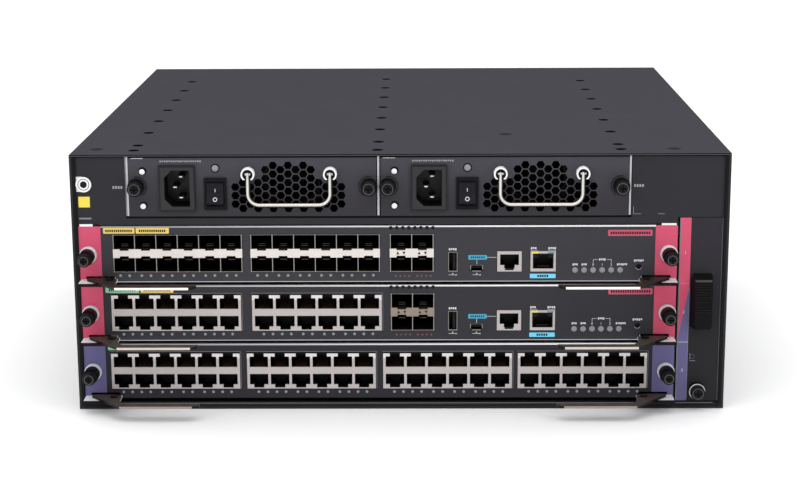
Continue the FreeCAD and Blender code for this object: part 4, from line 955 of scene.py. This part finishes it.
def dashes(shape, x, z, count, width, height, gap, paint=0):
    # A row of small bars where the real part has a line of small print.
    start = x - (count * (width + gap) - gap) / 2
    for index in range(count):
        left = start + index * (width + gap)
        rise = 0.25 * height * ((index * 5) % 3) / 2
        ink(shape, left, left + width, z - height / 2 + rise, z + height / 2, paint)


def label(shape, x0, x1, z0, z1, corner, paint):
    shape.prism(rounded(x0, x1, z0, z1, corner), face - print_sunk, face + print_height, paint)


def label_bars(shape, first, pitch, width, count, z0, z1):
    # Dark bars on a label, where the real part has words.
    for index in range(count):
        left = first + pitch * index
        shape.plate(left, left + width, z0, z1, face, face + overprint_height, BLACK)


def arrow(shape, x, foot, tip, half_width, base, height, paint):
    # A small triangle that points up or down.
    turn = 1 if tip > foot else -1
    outline = [(x - half_width, foot), (x + half_width, foot), (x, tip)][::turn]
    shape.prism(outline, base - print_sunk, base + height, paint)


def arc_strip(shape, x, z, radii, angles, low, high, paint=0, steps=24):
    # A thin flat ring or part of one, between two radii and two angles in degrees.
    first, last = angles
    turns = [math.radians(first + (last - first) * step / steps) for step in range(steps + 1)]
    inner, outer = [[(x + radius * math.cos(turn), z + radius * math.sin(turn)) for turn in turns]
                    for radius in radii]
    for index in range(steps):
        shape.prism([inner[index], outer[index], outer[index + 1], inner[index + 1]], low, high, paint)


def port_speed_labels(shape, number):
    top = card_top[number]
    low, high = top - (4.2 if number == 3 else 4.9), top - 1.0
    labels = ((-197.4, -176.5), (-175.7, -153.6)) if number == 1 else ((-197.4, -174.9), (-173.9, -151.9))
    for (left, right), paint in zip(labels, (PALE_YELLOW if number == 1 else GREEN, PALE_YELLOW)):
        label(shape, left, right, low, high, 0.5, paint)
    if number in service_cards:
        middle = (low + high) / 2
        for left, right in labels:
            label_bars(shape, (left + right) / 2 - 9.0, 1.4, 0.95, 13, middle - 0.95, middle + 0.75)


def type_label(shape, number):
    left, low = (138.0, card_top[1] - 7.2) if number == 1 else (139.0, card_top[2] - 6.6)
    label(shape, left, left + 29.4, low, low + 4.1, 0.5, PINK)
    label_bars(shape, left + 1.6, 1.58, 1.05, 17, low + 1.1, low + 2.9)


def service_prints(shape, number):
    bottom, board = card_bottom[number], board_top[number]
    label(shape, 86.5, 103.6, bottom + 2.2, bottom + 5.2, 0.4, BLUE)
    label_bars(shape, 91.4, 1.55, 1.1, 5, bottom + 2.9, bottom + 4.5)
    label(shape, 45.5, 57.8, bottom + 15.0, bottom + 18.1, 0.5, TEAL)
    label_bars(shape, 47.0, 1.4, 0.8, 7, bottom + 15.9, bottom + 17.2)
    line(shape, 57.8, console_port[0] - 0.6, bottom + 16.55, bottom + 16.55, WHITE, 0.26)
    line(shape, 51.13, 51.13, board + 5.0, bottom + 15.0, WHITE, 0.26)
    dashes(shape, usb_port[0] + 3.0, board + 15.2, 4, 1.0, 1.5, 0.35, WHITE)
    z = bottom + 4.6
    for x in (usb_port[0] + 3.0, mini_port[0] + 4.3):
        line(shape, x - 2.7, x + 2.2, z, z, WHITE)
        shape.prism([(x + 2.1, z - 0.5), (x + 3.0, z), (x + 2.1, z + 0.5)],
                    face - print_sunk, face + print_height, WHITE)
        ink(shape, x - 0.3, x + 0.5, z + 0.5, z + 1.2, WHITE)
    top = board + single_jack_height
    left, width = management_port
    dashes(shape, left + 2.0, top + 2.0, 3, 1.0, 1.5, 0.35, WHITE)
    dashes(shape, left + 14.3, top + 2.0, 4, 1.0, 1.5, 0.35, WHITE)
    for x in (left, left + width - 5.0):
        line(shape, x, x + 5.0, top + 0.61, top + 0.61, WHITE, 0.22)


def status_prints(shape, number):
    lamp_z = board_top[number] + status_z_above_board
    text_z = lamp_z + 3.7
    bracket_z = text_z + 3.4
    dashes(shape, status_xs[0], text_z, 3, 0.9, 1.5, 0.3, WHITE)
    dashes(shape, status_xs[1], text_z, 3, 0.9, 1.5, 0.3, WHITE)
    dashes(shape, status_xs[5] + 1.2, text_z, 6, 0.85, 1.5, 0.3, WHITE)
    for x, toward in ((status_xs[2], 3.0), (status_xs[4], -3.0)):
        line(shape, x, x, lamp_z + 4.9, bracket_z, WHITE)
        line(shape, min(x, x + toward), max(x, x + toward), bracket_z, bracket_z, WHITE)
    dashes(shape, status_xs[3], bracket_z, 4, 0.85, 1.5, 0.3, WHITE)
    dashes(shape, reset_x, board_top[number] + 7.2, 5, 1.0, 1.5, 0.35, WHITE)
    arc_strip(shape, *node_centre(f"card_{number}_reset"), (1.75, 2.1), (195, 345),
              face - print_sunk, face + print_height, DIM)


def optical_marks(shape, number):
    # Under each column of the two-wide block: a square, two arrows and a square.
    z = card_bottom[number] + 3.9
    left = cage_blocks[number][-1][0] + 4.0
    for column in range(2):
        for index in range(4):
            x = left + cage_pitch * column + 3.0 * index
            if index in (1, 2):
                side = 1 if index == 1 else -1
                arrow(shape, x, z - 0.45 * side, z + 0.6 * side, 0.65, face, print_height, ROSE)
            else:
                ink(shape, x - 0.45, x + 0.45, z - 0.45, z + 0.45, ROSE)


def card_labels(number):
    shape = Shape()
    port_speed_labels(shape, number)
    if number in service_cards:
        type_label(shape, number)
        service_prints(shape, number)
        status_prints(shape, number)
        optical_marks(shape, number)
    shape.done(f"card_{number}_labels", f"card_{number}", card_inks, "face_paint")


def numerals(text, x, z, size, name, body):
    curve = bpy.data.curves.new(name, "FONT")
    curve.body = text
    curve.size = size * MM
    curve.extrude = 0.03 * MM
    curve.resolution_u = 3
    curve.align_x = "CENTER"
    curve.align_y = "CENTER"
    text_object = bpy.data.objects.new(name + "_curve", curve)
    link(text_object)
    text_object.matrix_world = Matrix.Translation(Vector((x, -face - 0.03, z)) * MM) @ FRONT.to_4x4()
    bpy.context.view_layer.update()
    data = bpy.data.meshes.new_from_object(text_object)
    data.transform(text_object.matrix_world)
    bpy.data.objects.remove(text_object)
    data.materials.clear()
    add_piece(name, data, ("white_ink",), body)


def slot_numbers():
    for number in card_numbers:
        numerals(str(number), 189.6, card_top[number] - 19.0, 3.0, f"bay_number_{number}", "fan_tray")
        for index in range(3 if number in service_cards else 0):
            numerals(str(index), status_xs[2 + index], board_top[number] + 4.4, 2.4,
                     f"card_{number}_lamp_number_{index}", f"card_{number}")


# Port blocks


def contacts():
    for number, blocks in jack_blocks.items():
        shape = Shape()
        middle = board_top[number] + jack_height / 2
        for left, count in blocks:
            for column in range(count):
                centre = left + jack_pitch - jack_opening / 2 + jack_pitch * column
                for side in sides:
                    for index in range(8):
                        contact(shape, centre + (index - 3.5) * contact_pitch, middle + side * 2.4, side)
        shape.done(f"card_{number}_contacts", f"card_{number}", ("dull_gold",), "brass_socket")


def contact(shape, x, flat, side):
    # One spring wire that slopes from the flat side of a socket towards its back.
    half, thick = 0.22, 0.4
    places = []
    for depth, rise in ((2.2, 0.15), (10.5, 3.2)):
        for u, v in ((-half, 0.0), (half, 0.0), (half, thick), (-half, thick)):
            places.append((x + u, flat + side * (rise + v), block_face - depth))
    points = shape.points(places)
    shape.face(points[:4][::-1])
    shape.face(points[4:])
    shape.skin([points[:4], points[4:]])


def cage_details():
    # Sprung latch tabs of the optical cages and the small arrows on the two-wide blocks.
    for number, blocks in cage_blocks.items():
        shape = Shape()
        middle = board_top[number] + cage_height / 2
        for left, count in blocks:
            for column in range(count):
                centre = left + cage_wall + cage_pitch * column + (cage_pitch - cage_wall) / 2
                for side in sides:
                    for depth, drop in ((3.2, 4.6), (5.0, 5.5)):
                        z = middle + side * drop
                        shape.plate(centre - 2.3, centre + 2.3, z - 0.12, z + 0.12,
                                    block_face - depth - 0.5, block_face - depth)
                if count == 2:
                    for side, x in ((1, centre - 2.2), (-1, centre + 2.0)):
                        arrow(shape, x, middle - side * 0.9, middle + side * 1.2, 0.95, block_face, 0.05, 1)
        shape.done(f"card_{number}_latch_tabs", f"card_{number}", ("tab_metal", "black_ink"), "cage_metal")


def block_outlines():
    # A painted highlight on the cut edge of the faceplate at the top and right of each block of jacks.
    for number, blocks in jack_blocks.items():
        shape = Shape()
        low, high = board_top[number], board_top[number] + jack_height + 0.6
        for left, count in blocks:
            right = left + count * jack_pitch + 2.45
            shape.plate(right - 0.12, right + 0.12, low, high, face - 0.05, face + 0.1)
            shape.plate(left - 0.6, right, high - 0.12, high + 0.12, face - 0.05, face + 0.1)
        shape.done(f"card_{number}_cutout_edge_highlights", f"card_{number}", ("pale_metal",), "plated_sheet")


def vent_holes():
    # Black discs as painted shade where a row of small air holes lies over the two-wide optical block, just
    # under the card's top edge.
    for number in service_cards:
        shape = Shape()
        for index in range(8):
            profile = [(1.25, face - 0.2), (1.25, face + 0.05)]
            shape.face(shape.turned(-6.1 + 4.0 * index, card_top[number] - 1.35, profile, segments=20))
        shape.done(f"card_{number}_air_hole_shades", f"card_{number}", ("black_ink",), "face_paint")


def management_leds():
    for number in service_cards:
        shape = Shape()
        left, width = management_port
        z = board_top[number] + single_jack_height
        for x, paint in ((left + 0.9, 0), (left + width - 5.3, 1)):
            shape.plate(x, x + 4.4, z - 1.5, z - 0.4, block_face - 0.1, block_face + 0.12, paint, 0.1)
        for index in range(8):
            x = left + width / 2 + (index - 3.5) * contact_pitch
            shape.plate(x - 0.25, x + 0.25, z - 10.3, z - 9.7, block_face - 0.1, block_face + 0.06, 2)
        shape.done(f"card_{number}_port_leds", f"card_{number}", ("yellow_ink", "led_teal", "dull_gold"),
                   "face_paint")


# Power supply fronts


def psu_prints():
    for number in psu_numbers:
        centre = psu_centre[number]
        shape = Shape()
        dashes(shape, centre - 47.3, psu_top - 2.7, 19, 0.95, 1.2, 0.51, 0)
        ink(shape, centre - 80.0, centre - 72.0, psu_top - 0.9, psu_top - 0.5, 2)
        for side, angles in ((-1, (-60, 100)), (1, (80, 240))):
            arc_strip(shape, centre + side * psu_screw_x, psu_middle, (6.5, 7.1), angles,
                      face - print_sunk, face + 0.08, 1)
        shape.done(f"psu_{number}_prints", f"psu_{number}", ("dim_ink", "black_ink", "white_ink"),
                   "face_paint")


def rocker_marks():
    tilt = math.radians(-10.0)
    half_height = 6.42
    circle_points = 24
    for number in psu_numbers:
        x = node_centre(f"psu_{number}_rocker")[0]
        axis_y, axis_z = 0.6 - face, psu_bottom + 15.2
        shape = Shape(TOP)

        def on_face(u, along, lift):
            # Along runs up the rocker's two-part face, which is deepest in the middle.
            y = -2.6 - 2.0 * min(abs(along), half_height) / half_height - lift
            return (x + u, axis_y + y * math.cos(tilt) - along * math.sin(tilt),
                    axis_z + y * math.sin(tilt) + along * math.cos(tilt))

        bar = ((-0.22, 1.0), (0.22, 1.0), (0.22, 3.2), (-0.22, 3.2))
        base, top = [shape.points([on_face(u, along, lift) for u, along in bar]) for lift in (-0.05, 0.06)]
        shape.face(base[::-1])
        shape.face(top)
        shape.skin([base, top])
        rings = []
        for radius, lift in ((1.45, -0.05), (1.45, 0.06), (0.95, 0.06), (0.95, -0.05)):
            turns = [2 * math.pi * step / circle_points for step in range(circle_points)]
            rings.append(shape.points([on_face(radius * math.cos(turn), radius * math.sin(turn) - 3.9, lift)
                                       for turn in turns]))
        shape.skin(rings + rings[:1])
        shape.done(f"psu_{number}_rocker_marks", f"psu_{number}_rocker", ("white_ink",), "rocker_plastic")


# Blank panels and strap socket


def panel_marks():
    shape = Shape()
    ink(shape, -213.0, -205.5, 139.6, 146.8, 0, panel_face, 0.1)
    ink(shape, -212.9, -204.8, 131.5, 132.6, 3, panel_face, 0.35)
    for x0, x1, high in ((154.4, 154.65, 139.2), (154.4, 159.6, 134.45), (170.8, 175.2, 134.45)):
        ink(shape, x0, x1, 134.2, high, 1, panel_face)
    for x, z in ((-186.6, 153.0), (157.9, 153.4)):
        for index in range(4):
            left = x - 3.4 + 1.75 * index
            ink(shape, left, left + 1.2, z - 0.9, z + 0.9, 1, panel_face)
    for x0, x1, low, paint in ((-213.0, -204.2, 126.6, 2), (173.4, 183.2, 126.35, 2),
                               (-204.2, -200.4, 126.6, 4), (170.4, 173.4, 126.35, 4)):
        ink(shape, x0, x1, low, low + 1.6, paint, panel_face, 0.5)
    shape.done("panel_marks", "chassis", ("yellow_ink", "dim_ink", "edge_metal", "pale_metal", "black_ink"),
               "face_paint")


def strap_socket():
    shape = Shape()
    x, z = node_centre("esd_jack")
    mouth = -node_box("esd_jack")[0].y
    back = panel_face - print_sunk
    shape.plate(x - 5.1, x - 0.3, z - 5.1, z + 5.1, back, panel_face + 0.35, 0, 0.15)
    shape.turned(x, z, [(5.2, back), (5.2, mouth - 0.2), (5.0, mouth + 0.02), (3.9, mouth + 0.02)],
                 segments=36)
    # A thin black ring as painted shade in the gap, and a black disc as painted shade over the socket's hole
    for radii, paint in (((3.45, 3.9), 1), ((2.3, 3.45), 0), ((0.05, 2.3), 1)):
        arc_strip(shape, x, z, radii, (0, 360), mouth - 0.6, mouth + 0.02, paint, 36)
    shape.done("strap_socket_collar", "chassis", ("edge_metal", "black_ink"), "nickel")


# Fan tray


def tray_prints():
    shape = Shape()
    left, right = tray_strip
    for number, paint in ((1, 1), (2, 0)):
        ink(shape, left + 0.1, right, card_bottom[number] - 1.75, card_bottom[number] - 1.45, paint)
    ink(shape, right - 0.1, right + 0.1, 7.0, 84.0, 1)
    ink(shape, 194.5, 194.75, 34.2, 38.4, 1)
    ink(shape, 194.5, 198.4, 33.0, 33.25, 1)
    arc_strip(shape, 196.2, 36.2, (1.35, 1.6), (0, 360), face - print_sunk, face + print_height, 2)
    shape.done("tray_prints", "fan_tray", ("white_ink", "dim_ink", "knob_ring"), "face_paint")


def tray_screw_ring():
    shape = Shape()
    arc_strip(shape, *node_centre("fan_tray_screw"), (4.95, 5.42), (0, 360), face + 4.4, face + 5.03, 0, 48)
    shape.done("tray_screw_ring", "fan_tray", ("edge_metal",), "nickel")


# Stage, in metres


def studio():
    reach = 30.0
    floor = bpy.data.meshes.new("studio_floor")
    floor.from_pydata([(-reach, -reach, 0), (reach, -reach, 0), (reach, reach, 0), (-reach, reach, 0)], [],
                      [(0, 1, 2, 3)])
    floor.materials.append(floor_material())
    piece = bpy.data.objects.new("studio_floor", floor)
    piece.location.z = min(0.0, cad_corners[0][2]) - 0.0002
    link(piece)
    softbox("overhead", (0.1, -0.5, 1.7), (0.0, 0.0, 0.0), 1.6, 6.0)
    softbox("left_fill", (-1.5, -1.5, 1.1), (0.0, -0.1, 0.1), 1.2, 5.0)
    softbox("right_fill", (1.6, -1.1, 0.8), (0.1, -0.1, 0.1), 1.0, 3.0)


def sky():
    # Soft light from all round, stronger from above.
    world = bpy.data.worlds.new("studio")
    world.use_nodes = True
    nodes, links = world.node_tree.nodes, world.node_tree.links
    coords = nodes.new("ShaderNodeTexCoord")
    split = nodes.new("ShaderNodeSeparateXYZ")
    levels = nodes.new("ShaderNodeMapRange")
    links.new(coords.outputs["Generated"], split.inputs[0])
    links.new(split.outputs["Z"], levels.inputs["Value"])
    for name, value in (("From Min", 0.0), ("From Max", 0.8), ("To Min", 0.35), ("To Max", 1.5)):
        levels.inputs[name].default_value = value
    background = nodes["Background"]
    background.inputs["Color"].default_value = (1.0, 1.0, 1.0, 1.0)
    links.new(levels.outputs["Result"], background.inputs["Strength"])
    bpy.context.scene.world = world


def softbox(name, place, target, size, power):
    data = bpy.data.lights.new(name, "AREA")
    data.shape = "SQUARE"
    data.size = size
    data.energy = power
    light = bpy.data.objects.new(name, data)
    light.location = place
    light.rotation_euler = (Vector(target) - Vector(place)).to_track_quat("-Z", "Y").to_euler()
    link(light)


def camera():
    place = Vector((0.014148, -1.407733, 0.393750))
    pitch, yaw, roll = (math.radians(angle) for angle in (12.99876, -0.67641, -0.28550))
    focal_pixels, image_pixels, sensor = 1851.879, 800.0, 36.0
    forward = Vector((math.sin(yaw) * math.cos(pitch), math.cos(yaw) * math.cos(pitch), -math.sin(pitch)))
    right = Vector((math.cos(yaw), -math.sin(yaw), 0.0))
    up = right.cross(forward)
    turned_right = math.cos(roll) * right + math.sin(roll) * up
    turned_up = -math.sin(roll) * right + math.cos(roll) * up
    data = bpy.data.cameras.new("camera")
    data.sensor_width = sensor
    data.lens = focal_pixels / image_pixels * sensor
    piece = bpy.data.objects.new("camera", data)
    axes = Matrix((turned_right, turned_up, -forward)).transposed()
    piece.matrix_world = Matrix.Translation(place) @ axes.to_4x4()
    link(piece)
    bpy.context.scene.camera = piece


camera()
studio()
sky()
bpy.context.scene.view_settings.view_transform = "Standard"
finish_nodes()
thumbscrews()
cover_screws()
port_lamps()
small_lamps()
for card_number in card_numbers:
    card_labels(card_number)
slot_numbers()
contacts()
cage_details()
block_outlines()
vent_holes()
management_leds()
psu_prints()
rocker_marks()
panel_marks()
strap_socket()
tray_prints()
tray_screw_ring()
